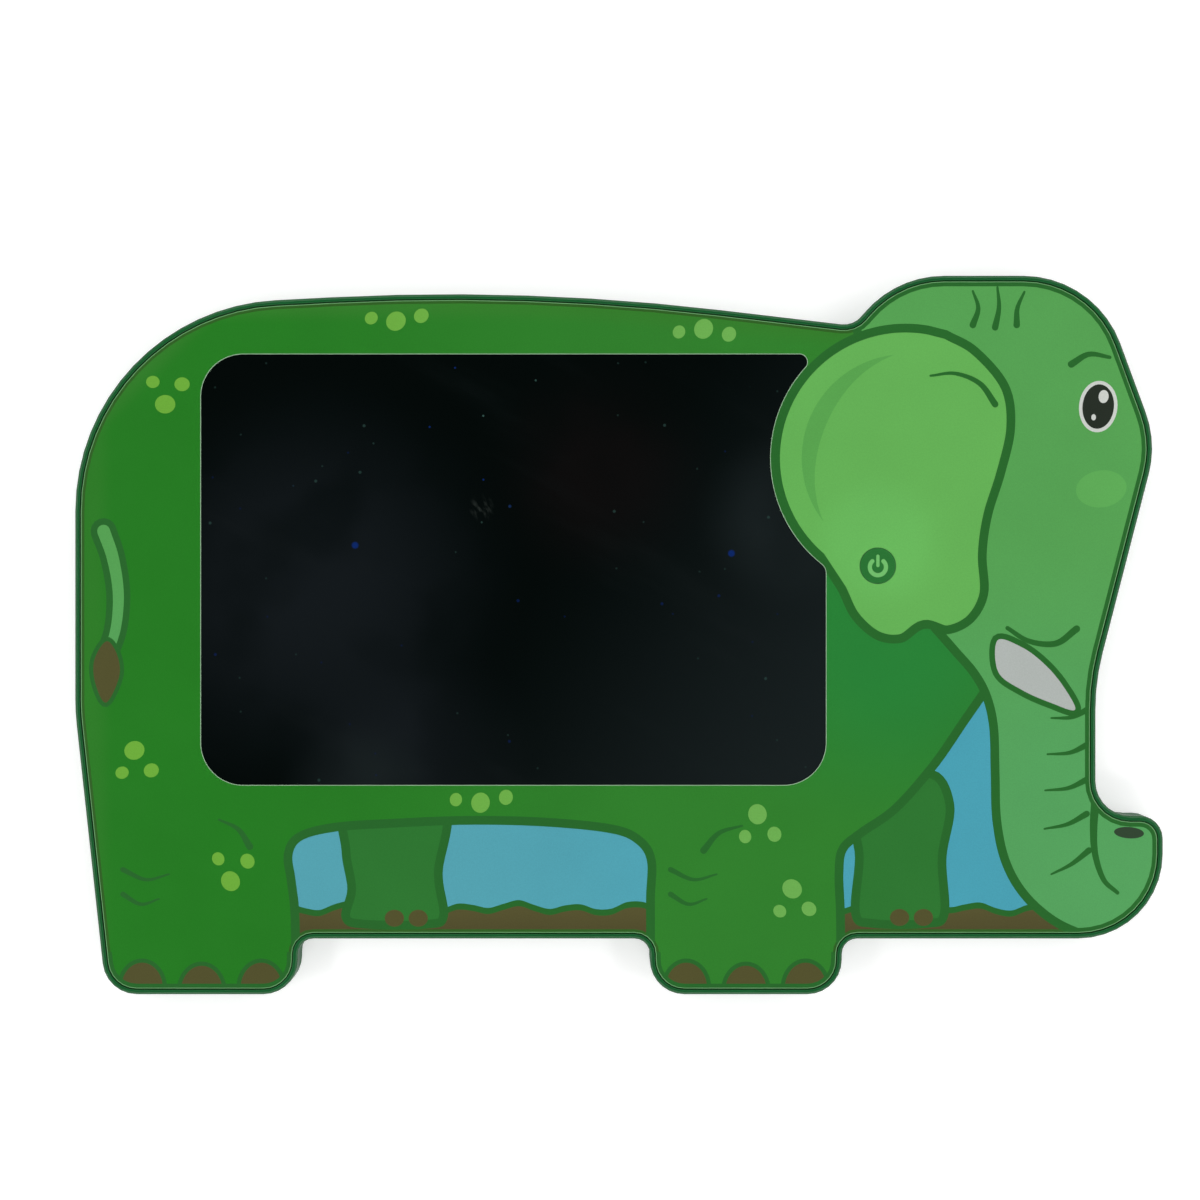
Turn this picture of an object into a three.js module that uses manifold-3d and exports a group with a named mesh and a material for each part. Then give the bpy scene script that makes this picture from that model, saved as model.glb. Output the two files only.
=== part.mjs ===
// A drawing tablet for children in the shape of a plain toy elephant that looks to the right.
// A writing screen lies under a printed face film, in a green housing of two shells.
// It has an erase button, a slider that locks it, a coin cell behind a door, and a stylus in the back.
// The tablet lies on its back with the screen up. Units are millimetres.
// +X runs to the elephant's head, +Y to its back and +Z out of the screen.
// The origin is under the middle of the outline, on the surface that the tablet lies on.

import * as THREE from "three";
import { mergeVertices } from "three/addons/utils/BufferGeometryUtils.js";
import Module from "manifold-3d";

const wasm = await Module();
wasm.setup();

// Overall sizes of the tablet
const tabletLength = 283;
const tabletHeight = 187;
const tabletThickness = 10;

// The elephant's outline
const legTaper = 8;
const hindFootWidth = 50;
const frontFootSetback = 133.5;
const frontFootWidth = 50;
const footDrop = 14.5;
const footRadius = 9;
const groundFillet = 4;
const trunkTipLength = 17.5;
const trunkTipHeight = 32;
const trunkElbowRadius = 22;
const trunkTipRadius = 6;
const trunkBendRadius = 9;
const trunkKneeY = -12;
const foreheadSetback = 1.5;
const foreheadY = 50;
const crownSetback = 17.5;
const crownWidth = 52;
const crownRadius = 27;
const neckStep = 11;
const neckDrop = 13;
const neckFillet = 6;
const archShift = 16.25;
const archDrop = 3;
const archRoundShare = 0.43;
const rumpDrop = 9;
const rumpRadius = 55;
const hipY = -20;
const broadRadius = 60;

// Walls and edges of the two shells
const rearWall = 1.6;
const sideWall = 1.8;
const deckThickness = 2;
const partingHeight = 3.6;
const lipHeight = 1.4;
const lipThickness = 0.8;
const lipClearance = 0.15;
const partingChamfer = 0.25;
const frontEdgeRadius = 0.8;
const rearEdgeRadius = 1.5;
const rimWidth = 1.3;
const rimHeight = 0.55;
const seatClearance = 0.3;

// The face film and the screen stack
const filmThickness = 0.3;
const sheetThickness = 0.25;
const padThickness = 0.3;
const padInset = 1;
const windowHeight = 112;
const windowCorner = 11;
const windowEarCorner = 2;
const screenLeftBorder = 32.8;
const screenRightBorder = 87.7;
const screenTopBorder = 17.5;
const lcdMargin = 6;
const lcdCorner = 6;
const earRadius = 35.2;
const earRight = 20.7;
const earDrop = 27;
const earFillet = 3;
const contactLedge = 4;
const contactLedgeHeight = 14;
const tailWidth = 8;
const tailThickness = 0.2;
const tailBelowButton = 20;
const tailDrop = 1.6;
const tailOnBoard = 5;
const tailRoom = 1.2;
const tailStart = 0.6;
const tailSideRoom = 1;

// The erase button and its switch
const buttonRadius = 4.7;
const buttonGap = 0.2;
const buttonFromEarX = -7.2;
const buttonFromEarY = -28;
const buttonProud = 0.1;
const buttonCapDepth = 1.4;
const buttonBevel = 0.25;
const buttonTravel = 0.3;
const buttonFlangeRadius = 5.9;
const buttonFlangeThickness = 0.5;
const plungerRadius = 2.4;
const plungerNeckRadius = 3.4;
const switchSide = 5.6;
const switchHeight = 1.2;
const switchWall = 0.2;
const stemRadius = 1.5;
const domeHeight = 0.25;
const domeRadius = 1.4;
const domeClearance = 0.05;
const domeShoulderRadius = 0.84;
const domeShoulderDrop = 0.05;
const runningClearance = 0.25;

// The circuit board
const boardWidth = 37.5;
const boardHeight = 44;
const boardThickness = 1;
const boardTopZ = 4.6;
const boardLeftOfButton = 6.6;
const boardAboveButton = 14;
const boardCorner = 1.5;
const boardScrewInset = 3.4;
const boardPostRadius = 2.2;

// What is soldered on the board, each placed from the board's lower left corner
const chipFromLeft = 19;
const chipFromBottom = 14;
const chipLength = 5;
const chipWidth = 4;
const chipLift = 0.2;
const chipHeight = 1.4;
const chipLegPitch = 1;
const chipLegWidth = 0.4;
const chipLegReach = 0.9;
const chipLegHeight = 0.5;
const chipMarkRadius = 0.35;
const chipMarkInset = 0.8;
const chipMarkDepth = 0.1;
const coilFromLeft = 28.5;
const coilFromBottom = 17.5;
const coilRadius = 2.6;
const coilWaist = 1.9;
const coilFlange = 0.5;
const coilHeight = 2.1;
const capacitorFromLeft = 14;
const capacitorFromBottom = 21.5;
const capacitorPitch = 3.6;
const capacitorLength = 2;
const capacitorWidth = 1.2;
const capacitorHeight = 0.8;

// The lock slider
const sliderFromBoardX = 20;
const sliderFromBoardY = 11;
const sliderTravel = 2.5;
const knobWidth = 4;
const knobLength = 6;
const knobRecess = 0.25;
const knobFlangeThickness = 0.4;
const knobFlangeMargin = 1.4;
const knobGroovePitch = 1.2;
const knobGrooveWidth = 0.5;
const knobGrooveDepth = 0.35;
const sliderClearance = 0.3;
const slideSwitchLength = 9;
const slideSwitchWidth = 4;
const slideSwitchHeight = 1.2;
const leverSide = 1.2;

// The coin cell, its well and its door
const cellRadius = 10;
const cellThickness = 3.2;
const cellClearance = 0.4;
const cellFromCrownX = -20;
const cellFromCrownY = -38.5;
const wellWall = 1.6;
const wellCeilingZ = 5.6;
const wellCeiling = 1;
const doorHeight = 25;
const doorThickness = 1.4;
const doorRecess = 0.2;
const doorClearance = 0.25;
const doorCoverage = 2.5;
const doorScrewRoom = 9;
const doorCorner = 2.5;
const doorPadMargin = 3;
const doorPadHeight = 3.1;
const doorTabWidth = 5;
const doorTabLength = 1.2;
const doorTabRoot = 1;
const doorTabThickness = 0.6;
const doorTabSpacing = 14;
const doorTabRoom = 0.8;
const doorCupRadius = 2.9;
const doorCupHeight = 1;
const doorCupInset = 1;
const doorTowerWall = 1.2;
const doorTowerCap = 1;
const doorGripCount = 5;
const doorGripPitch = 1.4;
const doorGripWidth = 0.6;
const doorGripLength = 10;
const doorGripDepth = 0.3;
const cellBevel = 0.4;
const cellCapStep = 0.5;
const cellCapInset = 1.3;
const contactThickness = 0.25;
const contactGap = 0.1;
const slidingGap = 0.05;
const dimpleRadius = 1.2;
const positiveWidth = 5;
const positiveOffset = 0;
const negativeWidth = 4;
const negativeOffset = 6.5;
const contactTabLength = 3;
const wireRadius = 0.5;
const wireInset = 3;
const wireSpacing = 3.5;
const wireLanding = 1.5;

// Screws
const screwInset = 10.5;
const screwRadius = 0.95;
const screwHeadRadius = 1.9;
const screwHeadHeight = 1.2;
const screwHeadBevel = 0.4;
const screwLength = 4.8;
const screwHoleRadius = 1.15;
const screwHeadClearance = 0.35;
const screwSeatZ = 2;
const postRadius = 3.4;
const bossRadius = 3;
const bossRoot = 0.4;
const crossWidth = 0.6;
const crossArm = 1.15;
const crossDepth = 0.6;
const boardScrewLength = 3;
const boardScrewHeadHeight = 0.9;
const doorScrewLength = 3;
const doorScrewSink = 0.3;
const doorScrewRoomRadius = 1.45;

// The stylus and its channel in the rear cover
const stylusRadius = 2.5;
const stylusLength = 125;
const stylusClearance = 0.3;
const stylusZ = 2.9;
const stylusFromWindowTop = 52;
const stylusSetback = 1.2;
const stylusBore = 1.6;
const stylusTipLength = 13;
const stylusPlugLength = 7;
const stylusSpigot = 5;
const stylusSpigotRadius = 1.5;
const nibRadius = 0.8;
const nibLength = 3.2;
const nibRootRadius = 1.1;
const tipShoulder = 1.5;
const plugNoseRadius = 1.5;
const plugCrownRadius = 2.25;
const plugCrownLength = 0.6;
const plugNoseLength = 1.6;
const stylusStop = 1.5;
const channelWall = 1;
const channelSlot = 3.6;

// Ribs on the rear cover
const ribThickness = 1;
const longRibHeight = 1.8;
const crossRibHeight = 1.4;
const crossRibCount = 4;

// How far a cutting shape reaches past what it cuts
const overcut = 1;

// Facets of the round shapes
const facetSag = 0.07;
const widestFacet = 0.4;
const arcSteps = 16;
const roundSides = 48;
const mediumSides = 24;
const smallSides = 12;
const wireSides = 6;
const wireSteps = 14;
const frontEdgeSteps = 2;
const rearEdgeSteps = 3;
const halfTurn = Math.PI;
const quarterTurn = Math.PI / 2;

// Heights and places that follow from the sizes above
const halfL = tabletLength / 2;
const halfH = tabletHeight / 2;
const frontFootLeft = halfL - frontFootSetback;
const crownRight = halfL - crownSetback;
const crownLeft = crownRight - crownWidth;
const neckX = crownLeft - neckStep;
const archX = (neckX - halfL) / 2 + archShift;
const ledgeZ = tabletThickness - rimHeight;
const filmTopZ = ledgeZ + filmThickness;
const pocketFloorZ = ledgeZ - 2 * sheetThickness - padThickness;
const padTopZ = pocketFloorZ + padThickness;
const lowerSheetTopZ = padTopZ + sheetThickness;
const deckUnderZ = ledgeZ - deckThickness;
const lipTopZ = partingHeight + lipHeight;
const lipOuterInset = sideWall - lipThickness;
const skirtInset = lipOuterInset - lipClearance;
const groundY = footDrop - halfH;
const archY = halfH - archDrop;
const rumpSlope = Math.atan2(rumpDrop - archDrop, archX + halfL);
const archSlope = Math.atan2(neckDrop - archDrop, neckX - archX);
const archReach = archRoundShare * Math.hypot(archX + halfL, rumpDrop - archDrop);
const archRadius = archReach / Math.tan((archSlope + rumpSlope) / 2);
const windowLeft = screenLeftBorder - halfL;
const windowRight = halfL - screenRightBorder;
const windowTop = archY - screenTopBorder;
const windowBottom = windowTop - windowHeight;
const lcdRight = windowRight + lcdMargin;
const ear = new THREE.Vector2(windowRight + earRight, windowTop - earDrop);
const button = new THREE.Vector2(ear.x + buttonFromEarX, ear.y + buttonFromEarY);
const tailY = button.y - tailBelowButton;
const tailDropX = lcdRight + tailDrop;
const boardLeft = button.x - boardLeftOfButton;
const boardTop = button.y + boardAboveButton;
const boardRight = boardLeft + boardWidth;
const boardBottom = boardTop - boardHeight;
const boardUnderZ = boardTopZ - boardThickness;
const slider = new THREE.Vector2(boardLeft + sliderFromBoardX, boardBottom + sliderFromBoardY);
const cell = new THREE.Vector2(crownRight + cellFromCrownX, halfH + cellFromCrownY);
const wellRadius = cellRadius + cellClearance;
const doorTopZ = doorRecess + doorThickness;
const doorRight = cell.x + wellRadius + doorCoverage;
const doorLeft = cell.x - wellRadius - doorScrewRoom;
const doorScrew = new THREE.Vector2(doorLeft + doorCupRadius + doorCupInset, cell.y);
const doorCupTopZ = doorTopZ + doorCupHeight;
const doorScrewSeatZ = doorRecess + doorScrewSink + screwHeadHeight;
const cellBottomZ = doorTopZ + seatClearance;
const stylusY = windowTop - stylusFromWindowTop;
const stylusStart = stylusSetback - halfL;
const channelRadius = stylusRadius + stylusClearance;
const channelEnd = stylusStart + stylusLength + stylusStop;

// Corner points of the outline, anticlockwise: x, y and the radius that rounds the corner.
const outlineCorners = [
  [legTaper - halfL, -halfH, footRadius],
  [legTaper - halfL + hindFootWidth, -halfH, footRadius],
  [legTaper - halfL + hindFootWidth, groundY, groundFillet],
  [frontFootLeft, groundY, groundFillet],
  [frontFootLeft, -halfH, footRadius],
  [frontFootLeft + frontFootWidth, -halfH, footRadius],
  [frontFootLeft + frontFootWidth, groundY, groundFillet],
  [halfL, groundY, trunkElbowRadius],
  [halfL, groundY + trunkTipHeight, trunkTipRadius],
  [halfL - trunkTipLength, groundY + trunkTipHeight, trunkBendRadius],
  [halfL - trunkTipLength, trunkKneeY, broadRadius],
  [halfL - foreheadSetback, foreheadY, crownRadius],
  [crownRight, halfH, crownRadius],
  [crownLeft, halfH, crownRadius],
  [neckX, halfH - neckDrop, neckFillet],
  [archX, archY, archRadius],
  [-halfL, halfH - rumpDrop, rumpRadius],
  [-halfL, hipY, broadRadius],
];

// Where screws hold the two shells together, each a little way in from the outline.
const hindFootX = legTaper - halfL + hindFootWidth / 2;
const frontFootX = frontFootLeft + frontFootWidth / 2;
const coverScrews = [
  [hindFootX, screwInset - halfH],
  [frontFootX, screwInset - halfH],
  [halfL - 1.4 * screwInset, groundY + 1.4 * screwInset],
  [halfL - 1.3 * screwInset, foreheadY + screwInset],
  [neckX + screwInset, halfH - 1.9 * screwInset],
  [archX, archY - 0.75 * screwInset],
  [1.7 * screwInset - halfL, halfH - 3.6 * screwInset],
  [1.2 * screwInset - halfL, hipY - screwInset],
];

const boardScrews = [
  [boardLeft + boardScrewInset, boardTop - boardScrewInset],
  [boardRight - boardScrewInset, boardTop - 3.5 * boardScrewInset],
  [boardRight - boardScrewInset, boardBottom + boardScrewInset],
];

// The point where two lines meet, each given by a point and a direction.
function crossing(p, d, q, e) {
  const s = ((q.x - p.x) * e.y - (q.y - p.y) * e.x) / (d.x * e.y - d.y * e.x);
  return p.clone().addScaledVector(d, s);
}

// The points of a polygon with rounded corners, moved inwards by inset, which doesn't change their number.
function roundedPolygon(corners, inset = 0) {
  const points = corners.map(([x, y]) => new THREE.Vector2(x, y));
  const n = points.length;
  const directions = points.map((p, i) => points[(i + 1) % n].clone().sub(p).normalize());
  const inward = (direction) => new THREE.Vector2(-direction.y, direction.x);
  const starts = points.map((p, i) => p.clone().addScaledVector(inward(directions[i]), inset));
  const result = [];
  for (let i = 0; i < n; i++) {
    const before = directions[(i + n - 1) % n];
    const after = directions[i];
    const apex = crossing(starts[(i + n - 1) % n], before, starts[i], after);
    const turn = Math.atan2(before.x * after.y - before.y * after.x, before.dot(after));
    const side = Math.sign(turn);
    const radius = corners[i][2] - side * inset;
    const reach = radius * Math.tan(Math.abs(turn) / 2);
    const centre = apex.addScaledVector(before, -reach).addScaledVector(inward(before), side * radius);
    const from = Math.atan2(before.y, before.x) - side * quarterTurn;
    const facet = Math.min(widestFacet, 2 * Math.acos(1 - facetSag / corners[i][2]));
    const steps = Math.ceil(Math.abs(turn) / facet);
    for (let k = 0; k <= steps; k++) {
      const angle = from + (turn * k) / steps;
      result.push(new THREE.Vector2(radius * Math.cos(angle), radius * Math.sin(angle)).add(centre));
    }
  }
  return result;
}

function outline(inset) {
  return roundedPolygon(outlineCorners, inset);
}

function rectangle(left, bottom, right, top, corner) {
  const corners = [
    [left, bottom, corner],
    [right, bottom, corner],
    [right, top, corner],
    [left, top, corner],
  ];
  return roundedPolygon(corners);
}

// The screen window: a rounded rectangle with a round bite where the ear covers its upper right corner.
function windowOutline() {
  const path = new THREE.Path();
  const x = windowRight - earFillet;
  const drop = Math.sqrt((earRadius + earFillet) ** 2 - (ear.x - x) ** 2);
  const lowLean = Math.atan2(drop, ear.x - x);
  const y = windowTop - windowEarCorner;
  const run = Math.sqrt((earRadius + windowEarCorner) ** 2 - (y - ear.y) ** 2);
  const highLean = Math.atan2(y - ear.y, run);
  path.absarc(windowLeft + windowCorner, windowBottom + windowCorner, windowCorner, -halfTurn, -quarterTurn);
  path.absarc(windowRight - windowCorner, windowBottom + windowCorner, windowCorner, -quarterTurn, 0);
  path.absarc(x, ear.y - drop, earFillet, 0, lowLean);
  path.absarc(ear.x, ear.y, earRadius, lowLean - halfTurn, halfTurn - highLean, true);
  path.absarc(ear.x - run, y, windowEarCorner, -highLean, quarterTurn);
  path.absarc(windowLeft + windowCorner, windowTop - windowCorner, windowCorner, quarterTurn, halfTurn);
  return path.getPoints(arcSteps);
}

// A flat outline made into a slab between two heights.
function slab(points, bottom, top) {
  const options = { depth: top - bottom, bevelEnabled: false };
  return new THREE.ExtrudeGeometry(new THREE.Shape(points), options).translate(0, 0, bottom);
}

function box(left, bottom, low, right, top, high) {
  const geometry = new THREE.BoxGeometry(right - left, top - bottom, high - low);
  return geometry.translate((left + right) / 2, (bottom + top) / 2, (low + high) / 2);
}

// A round bar that stands upright between two heights.
function post(x, y, radius, bottom, top, sides = roundSides) {
  const geometry = new THREE.CylinderGeometry(radius, radius, top - bottom, sides);
  return geometry.rotateX(quarterTurn).translate(x, y, (bottom + top) / 2);
}

// A turned shape about the Z axis from (radius, height) pairs, which start and end on the axis, going up.
function turned(profile, sides = roundSides) {
  const geometry = new THREE.LatheGeometry(profile.map(([r, z]) => new THREE.Vector2(r, z)), sides);
  return geometry.rotateX(quarterTurn);
}

// A shell's outer skin: one closed ring of points for each [inset, height] level, from the lowest level up.
function skin(levels) {
  const rings = levels.map(([inset, height]) => outline(inset).map((p) => [p.x, p.y, height]));
  const n = rings[0].length;
  const index = [];
  for (let level = 0; level + 1 < rings.length; level++) {
    for (let i = 0; i < n; i++) {
      const a = level * n + i;
      const b = level * n + ((i + 1) % n);
      index.push(a, b, b + n, a, b + n, a + n);
    }
  }
  const cap = (ring, base, up) => {
    const flat = ring.map(([x, y]) => new THREE.Vector2(x, y));
    for (const [a, b, c] of THREE.ShapeUtils.triangulateShape(flat, [])) {
      index.push(base + a, base + (up ? b : c), base + (up ? c : b));
    }
  };
  cap(rings[0], 0, false);
  cap(rings[rings.length - 1], n * (rings.length - 1), true);
  const geometry = new THREE.BufferGeometry();
  geometry.setAttribute("position", new THREE.Float32BufferAttribute(rings.flat(2), 3));
  geometry.setIndex(index);
  return geometry;
}

// The levels of a quarter-round edge, from its side face in to its flat face.
function roundedEdge(radius, height, direction, steps) {
  return Array.from({ length: steps + 1 }, (_, k) => {
    const angle = (quarterTurn * k) / steps;
    return [radius * (1 - Math.cos(angle)), height + direction * radius * Math.sin(angle)];
  });
}

// A geometry as a solid that can be joined and cut.
function solid(geometry) {
  const plain = geometry.index ? geometry.toNonIndexed() : geometry.clone();
  plain.deleteAttribute("normal");
  plain.deleteAttribute("uv");
  const merged = mergeVertices(plain, 1e-4);
  return new wasm.Manifold(
    new wasm.Mesh({
      numProp: 3,
      vertProperties: merged.attributes.position.array,
      triVerts: new Uint32Array(merged.index.array),
    }),
  );
}

function join(...geometries) {
  return geometries.map(solid).reduce((all, next) => all.add(next));
}

function cut(from, ...geometries) {
  return geometries.map(solid).reduce((left, tool) => left.subtract(tool), from);
}

function geometryOf(manifold) {
  const mesh = manifold.getMesh();
  const geometry = new THREE.BufferGeometry();
  const numProp = mesh.numProp;
  const positions = new Float32Array((mesh.vertProperties.length / numProp) * 3);
  for (let i = 0; i < positions.length / 3; i++) {
    positions.set(mesh.vertProperties.subarray(i * numProp, i * numProp + 3), i * 3);
  }
  geometry.setAttribute("position", new THREE.BufferAttribute(positions, 3));
  geometry.setIndex(new THREE.BufferAttribute(new Uint32Array(mesh.triVerts), 1));
  geometry.computeVertexNormals();
  return geometry;
}

const colours = {
  shellGreen: { color: 0x225c38, roughness: 0.45, metalness: 0 },
  printGreen: { color: 0x3d8c38, roughness: 0.5, metalness: 0 },
  buttonGreen: { color: 0x2f7038, roughness: 0.5, metalness: 0 },
  screenBlack: { color: 0x0a0d0e, roughness: 0.2, metalness: 0 },
  sheetBlack: { color: 0x101010, roughness: 0.6, metalness: 0 },
  padGrey: { color: 0x3a3a3a, roughness: 0.9, metalness: 0 },
  boardGreen: { color: 0x1e6b40, roughness: 0.5, metalness: 0 },
  chipBlack: { color: 0x161616, roughness: 0.5, metalness: 0 },
  ceramicTan: { color: 0xb09068, roughness: 0.6, metalness: 0 },
  flexAmber: { color: 0xb8761c, roughness: 0.4, metalness: 0 },
  steel: { color: 0xb8bbc0, roughness: 0.3, metalness: 1 },
  copperRed: { color: 0xa3201c, roughness: 0.5, metalness: 0 },
  wireBlack: { color: 0x1a1a1a, roughness: 0.5, metalness: 0 },
  stylusGreen: { color: 0x4da34a, roughness: 0.4, metalness: 0 },
  nibGrey: { color: 0x4b4f4d, roughness: 0.5, metalness: 0 },
};

const tablet = new THREE.Group();

function add(name, shape, colour, parent = tablet) {
  const geometry = shape instanceof THREE.BufferGeometry ? shape : geometryOf(shape);
  const mesh = new THREE.Mesh(geometry, new THREE.MeshStandardMaterial(colours[colour]));
  mesh.name = name;
  parent.add(mesh);
  return mesh;
}

// A screw with a round head and a cross recess. Its shank points up and its head's seat is at height 0.
function screw(length, headHeight) {
  const profile = [
    [0, -headHeight],
    [screwHeadRadius - screwHeadBevel, -headHeight],
    [screwHeadRadius, screwHeadBevel - headHeight],
    [screwHeadRadius, 0],
    [screwRadius, 0],
    [screwRadius, length - screwRadius],
    [0, length],
  ];
  const half = crossWidth / 2;
  const low = -headHeight - overcut;
  const high = -headHeight + crossDepth;
  const lengthwise = box(-crossArm, -half, low, crossArm, half, high);
  const crosswise = box(-half, -crossArm, low, half, crossArm, high);
  return cut(solid(turned(profile, smallSides)), lengthwise, crosswise);
}

function addScrews(name, places, seatZ, length, headHeight) {
  const shape = geometryOf(screw(length, headHeight));
  places.forEach(([x, y], i) => add(`${name}_${i + 1}`, shape.clone().translate(x, y, seatZ), "steel"));
}

// A straight bar along X between two ends.
function barAlongX(radius, left, right, y, z, sides = roundSides) {
  const geometry = new THREE.CylinderGeometry(radius, radius, right - left, sides);
  return geometry.rotateZ(quarterTurn).translate((left + right) / 2, y, z);
}

// The front housing: the deck under the screen, the rim round the film and the upper part of the side wall
function frontHousing() {
  const body = solid(
    skin([
      [partingChamfer, partingHeight],
      [0, partingHeight + partingChamfer],
      ...roundedEdge(frontEdgeRadius, tabletThickness - frontEdgeRadius, 1, frontEdgeSteps),
    ]),
  );
  const below = partingHeight - overcut;
  const above = tabletThickness + overcut;
  const bayLeft = lcdRight - contactLedge;
  const bayTop = tailY + contactLedgeHeight / 2;
  const bayBottom = tailY - contactLedgeHeight / 2;
  const tailHalf = tailWidth / 2 + tailSideRoom;
  const tailSlotLeft = tailDropX - tailThickness - tailRoom;
  const tailSlotRight = tailDropX + tailRoom;
  const hollowed = cut(
    body,
    slab(outline(rimWidth), ledgeZ, above),
    slab(lcdOutline(seatClearance), pocketFloorZ, above),
    slab(outline(sideWall), below, deckUnderZ),
    slab(outline(skirtInset), below, lipTopZ + lipClearance),
    box(bayLeft, bayBottom, pocketFloorZ, tailDropX + 2 * tailRoom, bayTop, above),
  );
  const root = deckUnderZ + bossRoot;
  const bosses = coverScrews.map(([x, y]) => post(x, y, bossRadius, partingHeight, root, smallSides));
  const boardPosts = boardScrews.map(([x, y]) => post(x, y, boardPostRadius, boardTopZ, root, smallSides));
  const filled = hollowed.add(join(...bosses)).add(join(...boardPosts));
  const pilots = [...coverScrews, ...boardScrews].map(([x, y]) =>
    post(x, y, screwHoleRadius, below, deckUnderZ + bossRoot / 2, smallSides),
  );
  return cut(
    filled,
    ...pilots,
    post(button.x, button.y, buttonRadius + buttonGap, below, above),
    box(tailSlotLeft, tailY - tailHalf, below, tailSlotRight, tailY + tailHalf, above),
    barAlongX(channelRadius + lipClearance, -halfL - overcut, sideWall + overcut - halfL, stylusY, stylusZ),
  );
}

// The writing screen's two plastic sheets and the sticky pad under them
function lcdOutline(margin = 0) {
  const left = windowLeft - lcdMargin - margin;
  const bottom = windowBottom - lcdMargin - margin;
  return rectangle(left, bottom, lcdRight + margin, windowTop + lcdMargin + margin, lcdCorner + margin);
}

function writingSheet() {
  const ledgeLeft = lcdRight - contactLedge;
  const half = contactLedgeHeight / 2;
  const low = lowerSheetTopZ - overcut;
  const notch = box(ledgeLeft, tailY - half, low, lcdRight + overcut, tailY + half, ledgeZ + overcut);
  return cut(solid(slab(lcdOutline(), lowerSheetTopZ, ledgeZ)), notch);
}

// The flat cable that leaves the ledge of the lower sheet, drops through the deck and lands on the board
function flexTail() {
  const start = lcdRight - contactLedge + tailStart;
  const end = tailDropX + tailOnBoard;
  const high = lowerSheetTopZ;
  const low = boardTopZ;
  const t = tailThickness;
  const profile = new THREE.Shape([
    new THREE.Vector2(start, high),
    new THREE.Vector2(tailDropX - t, high),
    new THREE.Vector2(tailDropX - t, low),
    new THREE.Vector2(end, low),
    new THREE.Vector2(end, low + t),
    new THREE.Vector2(tailDropX, low + t),
    new THREE.Vector2(tailDropX, high + t),
    new THREE.Vector2(start, high + t),
  ]);
  const geometry = new THREE.ExtrudeGeometry(profile, { depth: tailWidth, bevelEnabled: false });
  return geometry.rotateX(quarterTurn).translate(0, tailY + tailWidth / 2, 0);
}

// The printed film that covers the whole face but the screen and the button
function faceFilm() {
  const film = solid(slab(outline(rimWidth + seatClearance), ledgeZ, filmTopZ));
  const above = filmTopZ + overcut;
  return cut(
    film,
    slab(windowOutline(), ledgeZ - overcut, above),
    post(button.x, button.y, buttonRadius + buttonGap, ledgeZ - overcut, above),
  );
}

// The rear cover: back wall, lower half of the side wall, screw posts, battery well, stylus channel and ribs
function rearCover() {
  const body = solid(
    skin([
      ...roundedEdge(rearEdgeRadius, rearEdgeRadius, -1, rearEdgeSteps).reverse(),
      [0, partingHeight - partingChamfer],
      [partingChamfer, partingHeight],
    ]),
  );
  const lip = solid(slab(outline(lipOuterInset), rearWall / 2, lipTopZ));
  const tray = cut(body.add(lip), slab(outline(sideWall), rearWall, lipTopZ + overcut));
  const posts = coverScrews.map(([x, y]) => post(x, y, postRadius, rearWall / 2, partingHeight, smallSides));
  const shell = tray.add(join(...posts)).add(rearRibs());

  const padLeft = doorLeft - doorPadMargin;
  const padRight = doorRight + doorPadMargin;
  const padBottom = cell.y - doorHeight / 2 - doorPadMargin;
  const padTop = cell.y + doorHeight / 2 + doorPadMargin;
  const pad = box(padLeft, padBottom, rearWall / 2, padRight, padTop, doorPadHeight);
  const wellTop = wellCeilingZ + wellCeiling;
  const wellTower = post(cell.x, cell.y, wellRadius + wellWall, rearWall / 2, wellTop);
  const screwTowerTop = doorScrewSeatZ + doorScrewLength + doorTowerCap;
  const towerRadius = doorScrewRoomRadius + doorTowerWall;
  const screwTower = post(doorScrew.x, doorScrew.y, towerRadius, rearWall / 2, screwTowerTop, mediumSides);
  const channelTop = stylusZ + channelRadius + channelWall;
  const channelSide = channelRadius + channelWall;
  const channel = box(
    sideWall - halfL,
    stylusY - channelSide,
    rearWall / 2,
    channelEnd + channelWall,
    stylusY + channelSide,
    channelTop,
  );
  const filled = shell.add(join(pad, wellTower, screwTower, channel));

  const under = -overcut;
  const counterbores = coverScrews.map(([x, y]) =>
    post(x, y, screwHeadRadius + screwHeadClearance, under, screwSeatZ, mediumSides),
  );
  const postTop = partingHeight + overcut;
  const throughHoles = coverScrews.map(([x, y]) => post(x, y, screwHoleRadius, under, postTop, smallSides));
  return cut(filled, ...counterbores, ...throughHoles, ...wellCuts(), ...channelCuts(), sliderSlot());
}

// Straight ribs that stiffen the back wall
function rearRibs() {
  const half = ribThickness / 2;
  const low = rearWall / 2;
  const left = sideWall / 2 - halfL;
  const bottom = windowBottom;
  const top = windowTop - lcdMargin;
  const ribs = [bottom, top].map((y) => box(left, y - half, low, neckX, y + half, rearWall + longRibHeight));
  for (let i = 1; i <= crossRibCount; i++) {
    const x = windowLeft + ((windowRight - windowLeft) * i) / (crossRibCount + 1);
    ribs.push(box(x - half, bottom, low, x + half, top, rearWall + crossRibHeight));
  }
  return join(...ribs).intersect(solid(slab(outline(sideWall / 2), 0, partingHeight + longRibHeight)));
}

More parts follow.
